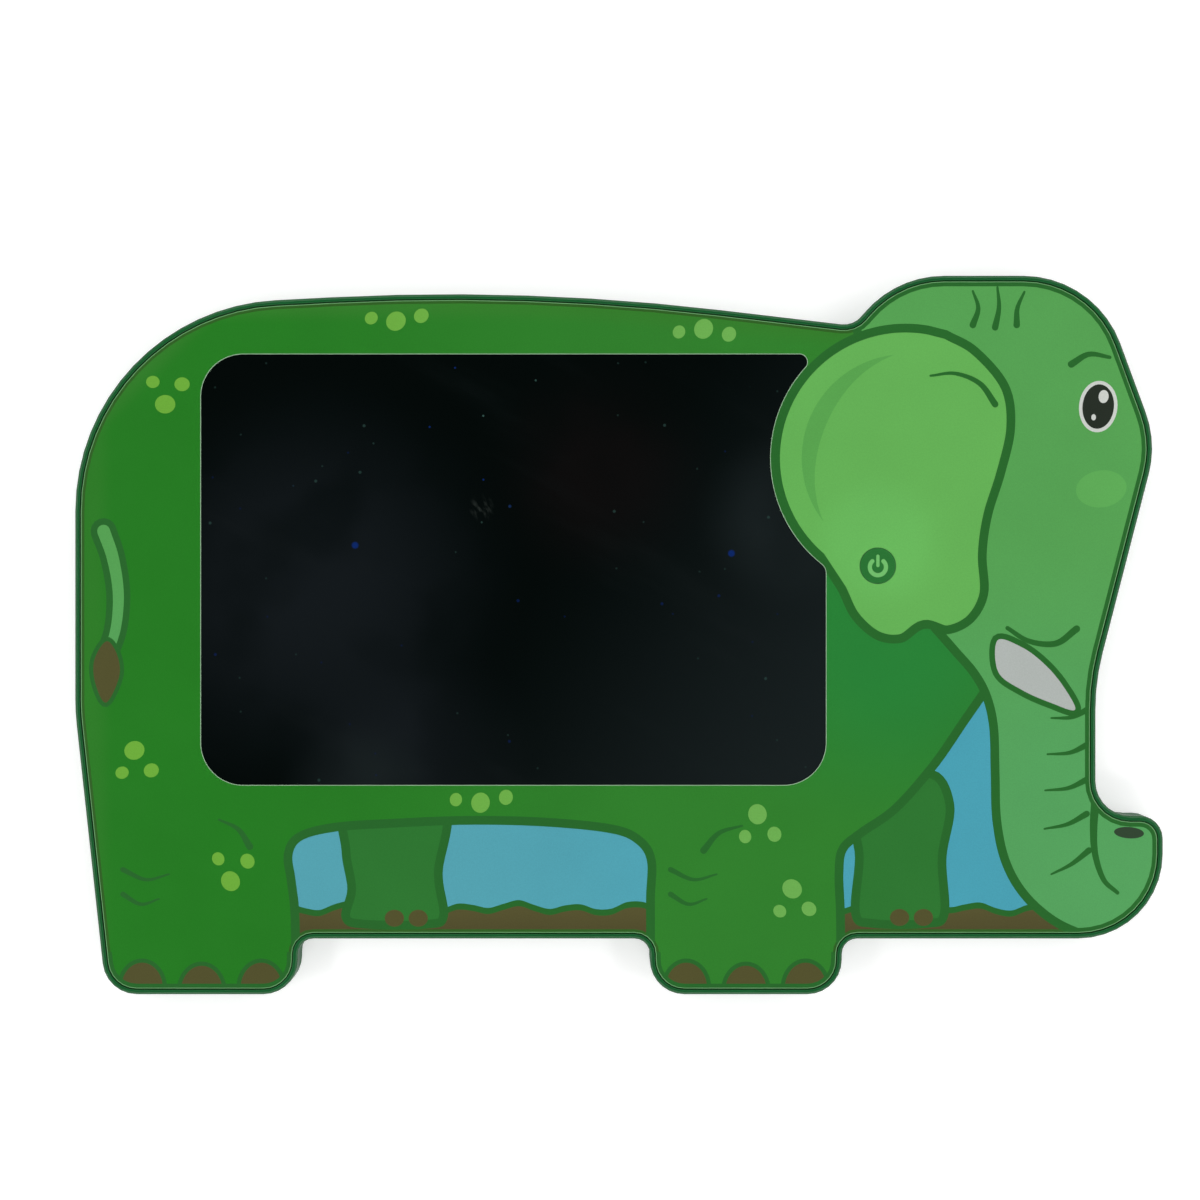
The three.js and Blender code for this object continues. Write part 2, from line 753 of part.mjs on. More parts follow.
// The battery well, the recess of its door, the door's tab slots and screw hole, and its contacts' slots
function wellCuts() {
  const under = -overcut;
  const half = doorHeight / 2 + doorClearance;
  const recess = rectangle(
    doorLeft - doorClearance,
    cell.y - half,
    doorRight + doorClearance,
    cell.y + half,
    doorCorner + doorClearance,
  );
  const tabs = [-1, 1].map((side) => {
    const y = cell.y + (side * doorTabSpacing) / 2;
    const reach = doorTabWidth / 2 + doorClearance;
    const right = doorRight + doorTabLength + doorClearance;
    const tabLow = doorTopZ - doorTabThickness - slidingGap;
    return box(cell.x, y - reach, tabLow, right, y + reach, doorTopZ + doorTabRoom);
  });
  const positiveX = cell.x + positiveOffset;
  const negativeX = cell.x + negativeOffset;
  const outerY = cell.y - wellRadius - wellWall - overcut;
  const stripLow = wellCeilingZ - contactThickness - seatClearance;
  const innerY = cell.y - cellRadius / 2;
  const cupHoleTop = doorCupTopZ + slidingGap;
  const screwHoleTop = doorScrewSeatZ + doorScrewLength + seatClearance;
  const positiveHalf = positiveWidth / 2 + seatClearance;
  const negativeHalf = negativeWidth / 2 + seatClearance;
  return [
    slab(recess, under, doorTopZ),
    post(cell.x, cell.y, wellRadius, under, wellCeilingZ),
    ...tabs,
    post(doorScrew.x, doorScrew.y, doorCupRadius + seatClearance, under, cupHoleTop, mediumSides),
    post(doorScrew.x, doorScrew.y, doorScrewRoomRadius, under, screwHoleTop, mediumSides),
    box(positiveX - positiveHalf, outerY, doorPadHeight, positiveX + positiveHalf, innerY, wellCeilingZ),
    box(negativeX - negativeHalf, outerY, stripLow, negativeX + negativeHalf, innerY, wellCeilingZ),
  ];
}

function channelCuts() {
  const half = channelSlot / 2;
  const mouth = -halfL - overcut;
  return [
    barAlongX(channelRadius, mouth, channelEnd, stylusY, stylusZ),
    box(mouth, stylusY - half, -overcut, channelEnd - channelRadius, stylusY + half, stylusZ),
  ];
}

function sliderSlot() {
  const half = knobWidth / 2 + sliderClearance;
  const bottom = slider.y - knobLength / 2 - sliderClearance;
  const top = slider.y + knobLength / 2 + sliderTravel + sliderClearance;
  return box(slider.x - half, bottom, -overcut, slider.x + half, top, rearWall + overcut);
}

function addShells() {
  add("front_housing", frontHousing(), "shellGreen");
  add("rear_cover", rearCover(), "shellGreen");
  addScrews("cover_screw", coverScrews, screwSeatZ, screwLength, screwHeadHeight);
}

function addScreen() {
  add("printed_face", faceFilm(), "printGreen");
  add("writing_sheet", writingSheet(), "screenBlack");
  add("black_backing_sheet", slab(lcdOutline(), padTopZ, lowerSheetTopZ), "sheetBlack");
  add("adhesive_pad", slab(lcdOutline(-padInset), pocketFloorZ, padTopZ), "padGrey");
  add("screen_flex_tail", flexTail(), "flexAmber");
}

// The button's cap, its flanged plunger and the small switch that it presses
function addButton() {
  const capTop = filmTopZ + buttonProud;
  const capBottom = capTop - buttonCapDepth;
  const flangeTop = deckUnderZ - contactGap;
  const stemTop = boardTopZ + switchHeight + buttonTravel + runningClearance;
  const stemBottom = boardTopZ + switchWall + domeHeight + buttonTravel + domeClearance;
  const capProfile = [
    [0, capBottom],
    [buttonRadius, capBottom],
    [buttonRadius, capTop - buttonBevel],
    [buttonRadius - buttonBevel, capTop],
    [0, capTop],
  ];
  const plungerProfile = [
    [0, stemTop],
    [plungerRadius, stemTop],
    [plungerRadius, flangeTop - buttonFlangeThickness],
    [buttonFlangeRadius, flangeTop - buttonFlangeThickness],
    [buttonFlangeRadius, flangeTop],
    [plungerNeckRadius, flangeTop],
    [plungerNeckRadius, capBottom],
    [0, capBottom],
  ];
  const stemProfile = [
    [0, stemBottom],
    [stemRadius, stemBottom],
    [stemRadius, stemTop],
    [0, stemTop],
  ];
  const parts = [
    ["erase_button_cap", turned(capProfile), "buttonGreen"],
    ["erase_button_plunger", turned(plungerProfile, mediumSides), "shellGreen"],
    ["switch_stem", turned(stemProfile, smallSides), "chipBlack"],
  ];
  for (const [name, geometry, colour] of parts) {
    add(name, geometry.translate(button.x, button.y, 0), colour);
  }

  const half = switchSide / 2;
  const top = boardTopZ + switchHeight;
  const bodyBox = box(button.x - half, button.y - half, boardTopZ, button.x + half, button.y + half, top);
  const bore = stemRadius + runningClearance;
  const well = post(button.x, button.y, bore, boardTopZ + switchWall, top + overcut, smallSides);
  add("switch_body", cut(solid(bodyBox), well), "chipBlack");
  const domeTop = boardTopZ + switchWall + domeHeight;
  const domeProfile = [
    [0, boardTopZ + switchWall],
    [domeRadius, boardTopZ + switchWall],
    [domeShoulderRadius, domeTop - domeShoulderDrop],
    [0, domeTop],
  ];
  add("switch_dome", turned(domeProfile, smallSides).translate(button.x, button.y, 0), "steel");
}

// The circuit board with what is soldered to it
function addBoard() {
  const edge = rectangle(boardLeft, boardBottom, boardRight, boardTop, boardCorner);
  const board = slab(edge, boardUnderZ, boardTopZ);
  const below = boardUnderZ - overcut;
  const above = boardTopZ + overcut;
  const holes = boardScrews.map(([x, y]) => post(x, y, screwHoleRadius, below, above, smallSides));
  add("circuit_board", cut(solid(board), ...holes), "boardGreen");
  addScrews("board_screw", boardScrews, boardUnderZ, boardScrewLength, boardScrewHeadHeight);

  const chipX = boardLeft + chipFromLeft;
  const chipY = boardBottom + chipFromBottom;
  const chipLow = boardTopZ + chipLift;
  const chipTop = chipLow + chipHeight;
  const chipHalf = chipLength / 2;
  const chipSide = chipWidth / 2;
  const body = box(chipX - chipHalf, chipY - chipSide, chipLow, chipX + chipHalf, chipY + chipSide, chipTop);
  const legEnd = chipHalf + chipLegReach;
  const legTop = boardTopZ + chipLegHeight;
  const legs = [-1.5, -0.5, 0.5, 1.5].map((row) => {
    const y = chipY + row * chipLegPitch;
    const half = chipLegWidth / 2;
    return box(chipX - legEnd, y - half, boardTopZ, chipX + legEnd, y + half, legTop);
  });
  const markX = chipX - chipHalf + chipMarkInset;
  const markY = chipY - chipSide + chipMarkInset;
  const mark = post(markX, markY, chipMarkRadius, chipTop - chipMarkDepth, chipTop + overcut, smallSides);
  add("controller_chip", cut(join(body, ...legs), mark), "chipBlack");

  const spool = [
    [0, 0],
    [coilRadius, 0],
    [coilRadius, coilFlange],
    [coilWaist, coilFlange],
    [coilWaist, coilHeight - coilFlange],
    [coilRadius, coilHeight - coilFlange],
    [coilRadius, coilHeight],
    [0, coilHeight],
  ];
  const coil = turned(spool, mediumSides);
  coil.translate(boardLeft + coilFromLeft, boardBottom + coilFromBottom, boardTopZ);
  add("boost_coil", coil, "chipBlack");

  for (let i = 0; i < 3; i++) {
    const capacitor = new THREE.BoxGeometry(capacitorLength, capacitorWidth, capacitorHeight);
    const x = boardLeft + capacitorFromLeft + i * capacitorPitch;
    capacitor.translate(x, boardBottom + capacitorFromBottom, boardTopZ + capacitorHeight / 2);
    add(`chip_capacitor_${i + 1}`, capacitor, "ceramicTan");
  }
}

// The slide switch under the board and the knob that reaches out through the back wall
function addSlider() {
  const switchLow = boardUnderZ - slideSwitchHeight;
  const halfW = slideSwitchWidth / 2;
  const middle = slider.y + sliderTravel / 2;
  const halfLength = slideSwitchLength / 2;
  const leverTop = switchLow + slideSwitchHeight / 2;
  const lever = leverSide / 2;
  const groove = box(
    slider.x - lever - runningClearance,
    slider.y - lever - runningClearance,
    switchLow - overcut,
    slider.x + lever + runningClearance,
    slider.y + lever + sliderTravel + runningClearance,
    leverTop + runningClearance,
  );
  const left = slider.x - halfW;
  const right = slider.x + halfW;
  const body = box(left, middle - halfLength, switchLow, right, middle + halfLength, boardUnderZ);
  add("lock_switch_body", cut(solid(body), groove), "steel");

  const flangeLow = rearWall + slidingGap;
  const flangeTop = flangeLow + knobFlangeThickness;
  const flangeHalf = knobWidth / 2 + sliderClearance + knobFlangeMargin;
  const flangeBottom = slider.y - knobLength / 2 - sliderTravel - knobFlangeMargin;
  const flangeEnd = slider.y + knobLength / 2 + sliderTravel + knobFlangeMargin;
  const gripX = knobWidth / 2;
  const gripY = knobLength / 2;
  const grip = box(
    slider.x - gripX,
    slider.y - gripY,
    knobRecess,
    slider.x + gripX,
    slider.y + gripY,
    flangeLow + knobFlangeThickness / 2,
  );
  const flangeLeft = slider.x - flangeHalf;
  const flangeRight = slider.x + flangeHalf;
  const flange = box(flangeLeft, flangeBottom, flangeLow, flangeRight, flangeEnd, flangeTop);
  const grooves = [-1.5, -0.5, 0.5, 1.5].map((k) => {
    const y = slider.y + k * knobGroovePitch;
    const half = knobGrooveWidth / 2;
    const depth = knobRecess + knobGrooveDepth;
    return box(slider.x - knobWidth, y - half, knobRecess - overcut, slider.x + knobWidth, y + half, depth);
  });
  add("lock_knob", cut(join(grip, flange), ...grooves), "nibGrey");
  const leverShape = new THREE.BoxGeometry(leverSide, leverSide, leverTop - flangeTop);
  leverShape.translate(slider.x, slider.y, (flangeTop + leverTop) / 2);
  add("lock_switch_lever", leverShape, "steel");
}

// The coin cell with its two contacts, their wires, and the door with its screw
function addBattery() {
  const cellTopZ = cellBottomZ + cellThickness;
  const cellProfile = [
    [0, cellBottomZ],
    [cellRadius - cellBevel, cellBottomZ],
    [cellRadius, cellBottomZ + cellBevel],
    [cellRadius, cellTopZ - cellCapStep],
    [cellRadius - cellBevel, cellTopZ - cellCapStep],
    [cellRadius - cellCapInset, cellTopZ],
    [0, cellTopZ],
  ];
  add("coin_cell", turned(cellProfile).translate(cell.x, cell.y, 0), "steel");

  const tabEnd = cell.y - wellRadius - wellWall - contactTabLength;
  const positive = new THREE.Vector3(cell.x + positiveOffset, tabEnd, cellTopZ - cellCapStep);
  const left = positive.x - positiveWidth / 2;
  const right = positive.x + positiveWidth / 2;
  const side = cell.y - cellRadius - contactGap;
  const upright = box(left, side - contactThickness, doorPadHeight + seatClearance, right, side, positive.z);
  const flat = box(left, tabEnd, positive.z - contactThickness, right, side, positive.z);
  add("battery_contact_positive", join(upright, flat), "steel");

  const negative = new THREE.Vector3(cell.x + negativeOffset, tabEnd, wellCeilingZ);
  const low = wellCeilingZ - contactThickness;
  const half = negativeWidth / 2;
  const strip = box(negative.x - half, tabEnd, low, negative.x + half, cell.y - dimpleRadius, wellCeilingZ);
  const dimple = [
    [0, cellTopZ + contactGap],
    [dimpleRadius / 2, cellTopZ + contactGap],
    [dimpleRadius, low + contactThickness / 2],
    [0, low + contactThickness / 2],
  ];
  const dimpleAt = turned(dimple, smallSides).translate(negative.x, cell.y - 3 * dimpleRadius, 0);
  add("battery_contact_negative", join(dimpleAt, strip), "steel");

  addWire("battery_wire_positive", positive, boardRight - wireInset - wireSpacing, "copperRed");
  addWire("battery_wire_negative", negative, boardRight - wireInset, "wireBlack");
}

// A wire from the top of a contact's tab, across the gap and onto its pad on the board
function addWire(name, tab, padX, colour) {
  const lift = new THREE.Vector3(0, 0, wireRadius + contactGap / 2);
  const start = tab.clone().add(lift);
  const end = new THREE.Vector3(padX, boardTop - wireInset, boardTopZ).add(lift);
  const points = [
    start.clone().setY(start.y + wireLanding),
    start,
    start.clone().lerp(end, 0.5),
    end,
    end.clone().setY(end.y - wireLanding),
  ];
  const around = Array.from({ length: wireSides }, (_, k) => {
    const angle = (2 * halfTurn * k) / wireSides;
    return new THREE.Vector2(wireRadius * Math.cos(angle), wireRadius * Math.sin(angle));
  });
  const route = { steps: wireSteps, bevelEnabled: false, extrudePath: new THREE.CatmullRomCurve3(points) };
  add(name, new THREE.ExtrudeGeometry(new THREE.Shape(around), route), colour);
}

function addDoor() {
  const half = doorHeight / 2;
  const edge = rectangle(doorLeft, cell.y - half, doorRight, cell.y + half, doorCorner);
  const plate = slab(edge, doorRecess, doorTopZ);
  const cup = post(doorScrew.x, doorScrew.y, doorCupRadius, doorRecess, doorCupTopZ, mediumSides);
  const tabLow = doorTopZ - doorTabThickness;
  const tabEnd = doorRight + doorTabLength;
  const tabs = [-1, 1].map((side) => {
    const y = cell.y + (side * doorTabSpacing) / 2;
    return box(doorRight - doorTabRoot, y - doorTabWidth / 2, tabLow, tabEnd, y + doorTabWidth / 2, doorTopZ);
  });
  const hole = post(doorScrew.x, doorScrew.y, screwHoleRadius, -overcut, doorCupTopZ + overcut, smallSides);
  const seatRadius = screwHeadRadius + screwHeadClearance;
  const seat = post(doorScrew.x, doorScrew.y, seatRadius, -overcut, doorScrewSeatZ, mediumSides);
  const grips = Array.from({ length: doorGripCount }, (_, k) => {
    const shape = new THREE.BoxGeometry(doorGripWidth, doorGripLength, 2 * doorGripDepth);
    return shape.translate(doorRight - doorGripPitch * (k + 2), cell.y, doorRecess);
  });
  add("battery_door", cut(join(plate, cup, ...tabs), hole, seat, ...grips), "shellGreen");
  const place = [[doorScrew.x, doorScrew.y]];
  addScrews("battery_door_screw", place, doorScrewSeatZ, doorScrewLength, screwHeadHeight);
}

// The stylus: a tube with a pointed nib in its right end and a plug in its left end
function addStylus() {
  const plugEnd = stylusPlugLength;
  const tipStart = stylusLength - stylusTipLength;
  const barrelProfile = [
    [stylusBore, plugEnd],
    [stylusRadius, plugEnd],
    [stylusRadius, tipStart],
    [stylusBore, tipStart],
    [stylusBore, plugEnd],
  ];
  const plugProfile = [
    [0, 0],
    [plugNoseRadius, 0],
    [plugCrownRadius, plugCrownLength],
    [stylusRadius, plugNoseLength],
    [stylusRadius, plugEnd],
    [stylusSpigotRadius, plugEnd],
    [stylusSpigotRadius, plugEnd + stylusSpigot],
    [0, plugEnd + stylusSpigot],
  ];
  const tipProfile = [
    [0, tipStart - stylusSpigot],
    [stylusSpigotRadius, tipStart - stylusSpigot],
    [stylusSpigotRadius, tipStart],
    [stylusRadius, tipStart],
    [stylusRadius, tipStart + tipShoulder],
    [nibRootRadius, stylusLength - nibLength],
    [nibRadius, stylusLength - nibRadius],
    [nibRadius / 2, stylusLength],
    [0, stylusLength],
  ];
  const stylus = new THREE.Group();
  stylus.position.set(stylusStart, stylusY, stylusZ);
  tablet.add(stylus);
  const alongX = (profile) => turned(profile, mediumSides).rotateY(quarterTurn);
  add("stylus_barrel", alongX(barrelProfile), "stylusGreen", stylus);
  add("stylus_end_plug", alongX(plugProfile), "nibGrey", stylus);
  add("stylus_tip", alongX(tipProfile), "nibGrey", stylus);
}

addShells();
addScreen();
addButton();
addBoard();
addSlider();
addBattery();
addDoor();
addStylus();

export default tablet;
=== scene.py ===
import math

import bmesh
import bpy
from bpy.props import FloatProperty, FloatVectorProperty, IntProperty, PointerProperty
from mathutils import Matrix, Vector
from mathutils.geometry import delaunay_2d_cdt


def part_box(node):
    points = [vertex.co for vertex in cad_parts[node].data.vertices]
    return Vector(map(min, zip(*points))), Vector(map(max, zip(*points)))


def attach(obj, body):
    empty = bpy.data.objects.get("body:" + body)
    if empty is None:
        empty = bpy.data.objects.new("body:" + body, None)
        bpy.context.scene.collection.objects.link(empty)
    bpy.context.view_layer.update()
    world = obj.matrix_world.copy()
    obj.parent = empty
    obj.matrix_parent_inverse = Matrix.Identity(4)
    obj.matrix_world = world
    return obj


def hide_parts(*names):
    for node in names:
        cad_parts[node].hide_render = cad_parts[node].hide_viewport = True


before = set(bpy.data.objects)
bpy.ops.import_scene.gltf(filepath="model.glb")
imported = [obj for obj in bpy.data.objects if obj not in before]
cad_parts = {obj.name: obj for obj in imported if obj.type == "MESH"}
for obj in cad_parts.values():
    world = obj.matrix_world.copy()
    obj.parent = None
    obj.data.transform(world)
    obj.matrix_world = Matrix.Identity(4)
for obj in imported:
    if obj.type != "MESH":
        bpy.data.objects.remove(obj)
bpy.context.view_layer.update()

bl_info = {
    "name": "Drawing tablet",
    "version": (1, 0, 0),
    "blender": (4, 5, 0),
    "location": "3D View > Sidebar > Tablet",
    "description": "Dresses the packed drawing tablet: printed face, shells, screen, button, screws and stylus",
    "category": "Object",
}

MM = 0.001  # a millimetre in Blender's metres
EDGE_ANGLE = math.radians(35)  # steeper edges are shaded sharp


# What a user may change


def tint(name, description, red, green, blue):
    """A colour in the 0 to 255 steps of a screen."""
    shade = (red / 255, green / 255, blue / 255)
    return FloatVectorProperty(
        name=name, description=description, default=shade, min=0, max=1, size=3, subtype="COLOR_GAMMA"
    )


def size(name, description, millimetres):
    """A length, given in millimetres and kept in metres."""
    return FloatProperty(
        name=name, description=description, default=millimetres * MM, min=0, unit="LENGTH", precision=5
    )


def share(name, description, value):
    """A part of the whole, from 0 to 1."""
    return FloatProperty(name=name, description=description, default=value, min=0, max=1, subtype="FACTOR")


class FaceSettings(bpy.types.PropertyGroup):
    """The printed film over the whole face."""

    body: tint("Body", "Green of the rump", 31, 119, 27)
    back: tint("Back", "Green of the back, towards the head", 45, 124, 40)
    shoulder: tint("Shoulder", "Green of the neck and the shoulder", 35, 125, 50)
    body_rim: tint("Body at the rim", "Warmer green of the body along the rim", 49, 122, 39)
    head: tint("Head", "Light green of the head", 83, 158, 80)
    trunk: tint("Trunk", "Light green of the trunk", 82, 158, 90)
    ear: tint("Ear", "Light green of the ear", 98, 173, 83)
    # Painted highlight: the paler green round the button stands in for the light caught by the raised ring.
    ear_painted_highlight: tint("Ear round the button", "Paler green round the button", 102, 180, 89)
    ear_shade: tint("Ear fold", "Green of the fold inside the ear", 86, 160, 76)
    line: tint("Lines", "Dark green of the drawn lines", 36, 101, 39)
    far_leg: tint("Far legs", "Green of the legs on the far side", 42, 115, 45)
    sky: tint("Sky", "Blue between the legs", 81, 159, 173)
    sky_fore: tint("Sky at the trunk", "Blue between the foreleg and the trunk", 70, 157, 176)
    earth: tint("Earth", "Brown strip that the far legs stand on", 84, 80, 44)
    nail: tint("Toenails", "Brown of the toenails and the tail's tuft", 80, 78, 41)
    ivory: tint("Tusk", "Pale grey of the tusk", 173, 179, 175)
    eye: tint("Eye", "Near black of the eye", 34, 42, 33)
    glint: tint("Glint", "Pale spot in the eye", 200, 204, 198)
    nostril: tint("Nostril", "Dark green of the nostril", 46, 66, 46)
    spot: tint("Spots", "Light green of the spots on the rump", 106, 169, 55)
    spot_back: tint("Spots towards the head", "Light green of the spots towards the head", 105, 170, 78)
    border: tint("Border", "Dark olive line along the film's edge", 45, 94, 32)
    # Painted highlight: the pale band on the film's cut edge by the rim stands in for the light that edge catches.
    hairline: tint("Film edge", "Cut edge of the film by the rim", 106, 160, 106)
    cut_edge: tint("Window edge", "Pale cut edge of the film round the window", 146, 176, 146)
    line_width: size("Line width", "Width of the drawn lines", 2.3)
    border_width: size("Border width", "Width of the dark line along the edge", 0.7)
    outline_width: size("Outline width", "Width of the drawn line along the edge of the head and feet", 1.05)
    edge_highlight_width: size("Film edge width", "Width of the film's cut edge", 0.19)
    cut_edge_width: size("Window edge width", "Width of the pale edge round the window", 0.17)
    spot_radius: size("Spot radius", "Radius of the largest spots", 2.4)
    snug: size("Snug", "How much smaller the printed film's hole for the button is drawn", 0.14)
    emboss: size("Emboss", "How far the ring round the button stands up", 0.06)


class ShellSettings(bpy.types.PropertyGroup):
    """The two moulded shells."""

    plastic: tint("Shell", "Dark green of the moulded shells", 28, 84, 47)
    rim: tint("Rim", "Dark green of the glossy rim", 19, 88, 42)
    grain: size("Grain", "Width of the moulded grain", 0.22)
    # Painted shade: this near black green stands in for the shadow in the gap between the rim and the film.
    gap_shade: tint("Groove", "Dark green in the gap between the rim and the film", 0, 62, 10)
    inner_round: size("Inner round", "Radius of the rim's inner edge", 0.16)
    rim_gloss: share("Rim roughness", "Roughness of the polished rim", 0.2)


class ScreenSettings(bpy.types.PropertyGroup):
    """The writing sheet seen through the window."""

    dark: tint("Screen", "Near black of the cleared screen", 3, 8, 7)
    cold: tint("Cold patches", "Blue black of the colder patches", 19, 24, 27)
    warm: tint("Warm patches", "Brown black of the warmer patches", 12, 11, 11)
    haze: tint("Haze", "Dark grey of the lighter corner", 24, 31, 32)
    speck: tint("Specks", "Grey green of the few specks", 52, 82, 76)
    blue_speck: tint("Blue specks", "Deep blue of the other specks", 12, 38, 98)
    smudge: tint("Smudge", "Grey of the faint rubbed mark", 44, 50, 47)
    roughness: share("Roughness", "Roughness of the hard coat", 0.16)


class ButtonSettings(bpy.types.PropertyGroup):
    """The round erase button."""

    disc: tint("Button", "Dark green of the button", 38, 112, 48)
    sign: tint("Sign", "Light green of the power sign", 111, 186, 105)
    ring_radius: size("Ring radius", "Middle of the sign's ring", 2.1)
    stroke: size("Stroke", "Width of the sign's lines", 1.1)


class MetalSettings(bpy.types.PropertyGroup):
    """Screws, cell and contacts."""

    steel: tint("Steel", "Grey of screws and contacts", 178, 180, 184)
    cell: tint("Cell", "Grey of the coin cell", 196, 197, 198)


class StylusSettings(bpy.types.PropertyGroup):
    """The stylus in the back."""

    barrel: tint("Barrel", "Green of the stylus", 76, 160, 72)
    nib: tint("Nib", "Dark grey of the nib and plug", 66, 70, 68)
    rings: IntProperty(name="Rings", description="Number of grip rings near the nib", default=9, min=0, max=30)
    ring_pitch: size("Ring pitch", "Distance from one grip ring to the next", 2.2)
    ring_depth: size("Ring depth", "Depth of a grip ring", 0.22)


class StageSettings(bpy.types.PropertyGroup):
    """Floor, light and camera."""

    height: size("Camera height", "Distance from the face to the camera", 560)
    pixel: size("Pixel", "What one pixel of the photograph covers on the face", 0.26)
    lamp_power: FloatProperty(
        name="Lamp power", description="Power of each strip lamp", default=2.15, min=0, unit="POWER"
    )
    sky_light: share("Sky light", "Strength of the even light from all round", 0.36)


# Shapes in the flat, in millimetres


def smooth(points, closed=False, steps=8):
    """Points along a smooth curve through the given ones."""
    given = [Vector(p) for p in points]
    n = len(given)
    made = []
    for i in range(n if closed else n - 1):
        b, c = given[i], given[(i + 1) % n]
        a = given[i - 1] if closed or i else 2 * b - c
        d = given[(i + 2) % n] if closed or i + 2 < n else 2 * c - b
        for k in range(steps):
            t = k / steps
            bend = (2 * a - 5 * b + 4 * c - d) * t * t + (3 * b - a - 3 * c + d) * t**3
            made.append(b + ((c - a) * t + bend) / 2)
    return made if closed else made + [given[-1]]


def oval(x, y, across, up, turn=0.0, count=40):
    """An oval about a point, from its two half widths."""
    lean = Matrix.Rotation(math.radians(turn), 2)
    angles = [2 * math.pi * k / count for k in range(count)]
    return [Vector((x, y)) + lean @ Vector((across * math.cos(a), up * math.sin(a))) for a in angles]


def arc(x, y, radius, start, end, count=40):
    """Points along part of a circle, from one angle to another, in degrees."""
    angles = [math.radians(start + (end - start) * k / count) for k in range(count + 1)]
    return [Vector((x + radius * math.cos(a), y + radius * math.sin(a))) for a in angles]


def crescent(centre, radius, width, start, end, count=40):
    """A moon shape: part of a circle, hollowed on its inner side and pointed at both ends."""
    outer = arc(*centre, radius, start, end, count)
    inner = []
    for k, point in enumerate(outer[1:-1], 1):
        inner.append(point + (centre - point).normalized() * width * math.sin(math.pi * k / count))
    return outer + inner[::-1]


def brush(line, width, end_share=1.0, caps=8):
    """The outline of a line of some width with round ends, thinning to a share of its width at its end."""
    n = len(line)
    left, right, heading = [], [], []
    for i, point in enumerate(line):
        along = (line[min(i + 1, n - 1)] - line[max(i - 1, 0)]).normalized()
        half = width / 2 * (1 + (end_share - 1) * i / (n - 1))
        across = Vector((-along.y, along.x)) * half
        left.append(point + across)
        right.append(point - across)
        heading.append(math.atan2(along.y, along.x))

    def cap(centre, radius, start):
        """A half circle about an end of the line."""
        angles = [start + math.pi * k / caps for k in range(1, caps)]
        return [centre + radius * Vector((math.cos(a), math.sin(a))) for a in angles]

    tip = cap(line[-1], width / 2 * end_share, heading[-1] - math.pi / 2)
    tail = cap(line[0], width / 2, heading[0] + math.pi / 2)
    return right + tip + left[::-1] + tail


def signed_area(loop):
    """The area inside a closed outline, negative if it runs clockwise."""
    return sum(a.x * b.y - a.y * b.x for a, b in zip(loop, loop[1:] + loop[:1])) / 2


def grown(loop, distance):
    """A closed outline moved outwards by a distance, or inwards by a negative one."""
    side = 1 if signed_area(loop) > 0 else -1
    made = []
    for before, here, after in zip(loop[-1:] + loop[:-1], loop, loop[1:] + loop[:1]):
        a, b = (here - before).normalized(), (after - here).normalized()
        out = (Vector((a.y, -a.x)) + Vector((b.y, -b.x))).normalized()
        reach = distance / max(0.5, out.dot(Vector((a.y, -a.x))))
        made.append(here + out * reach * side)
    return made


def stroke(points, width, end_share=1.0):
    """A drawn line through some points: its ink and its outline."""
    return "line", brush(smooth(points), width, end_share)


def partition(outlines, rings=()):
    """Cuts overlapping outlines into triangles. Gives points, triangles and the outlines that hold each triangle."""
    points, faces, edges = [], [], []
    for loop in [*outlines, *rings]:
        first = len(points)
        ordered = loop if signed_area(loop) > 0 else loop[::-1]
        points += ordered
        numbers = list(range(first, len(points)))
        if len(faces) < len(outlines):
            faces.append(numbers)
        else:
            edges += list(zip(numbers, numbers[1:] + numbers[:1]))
    found = delaunay_2d_cdt(points, edges, faces, 1, 1e-4, True)
    return found[0], found[2], found[5]


# Meshes and objects


def link(name, mesh):
    """Makes an object of some data and puts it in the scene."""
    made = bpy.data.objects.new(name, mesh)
    bpy.context.scene.collection.objects.link(made)
    return made


def shaded(mesh):
    """Smooth shading that stays sharp over real edges."""
    mesh.polygons.foreach_set("use_smooth", [True] * len(mesh.polygons))
    mesh.set_sharp_from_angle(angle=EDGE_ANGLE)
    return mesh


def mesh_from(bm, name):
    """Turns a bmesh into a mesh and frees it."""
    mesh = bpy.data.meshes.new(name)
    bm.to_mesh(mesh)
    bm.free()
    return mesh


def place(name, mesh, materials, body, stands_for):
    """Makes a finished piece of a mesh: its materials, the body that it rides on and the nodes it stands for."""
    for material in materials:
        mesh.materials.append(material)
    piece = link(name, shaded(mesh))
    piece.modifiers.new("Flat faces stay flat", "WEIGHTED_NORMAL").keep_sharp = True
    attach(piece, body)
    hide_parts(*stands_for)


def merged_copy(node):
    """A node's mesh with its loose triangles joined."""
    bm = bmesh.new()
    bm.from_mesh(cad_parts[node].data)
    bmesh.ops.remove_doubles(bm, verts=bm.verts, dist=1e-6)
    return bm


def joined(bm):
    """Joins the triangles of each flat face, so that it is shaded evenly."""
    bmesh.ops.dissolve_limit(bm, angle_limit=math.radians(0.1), verts=bm.verts, edges=bm.edges, delimit={"MATERIAL"})
    return bm


def dressed(name, node, finish, body):
    """Makes a finished piece with a node's own shape."""
    place(name, mesh_from(joined(merged_copy(node)), name), [finish], body, [node])


def open_loops(bm):
    """The chains of edges that have one face, as lists of vertices in order."""
    edges = dict.fromkeys(e for e in bm.edges if len(e.link_faces) == 1)  # keeps its order, unlike a set
    loops = []
    while edges:
        edge, _ = edges.popitem()
        chain = [edge.verts[0], edge.verts[1]]
        while True:
            following = next((e for e in chain[-1].link_edges if e in edges), None)
            if following is None:
                break
            del edges[following]
            chain.append(following.other_vert(chain[-1]))
        if chain[0] == chain[-1]:
            chain.pop()
        loops.append(chain)
    return loops


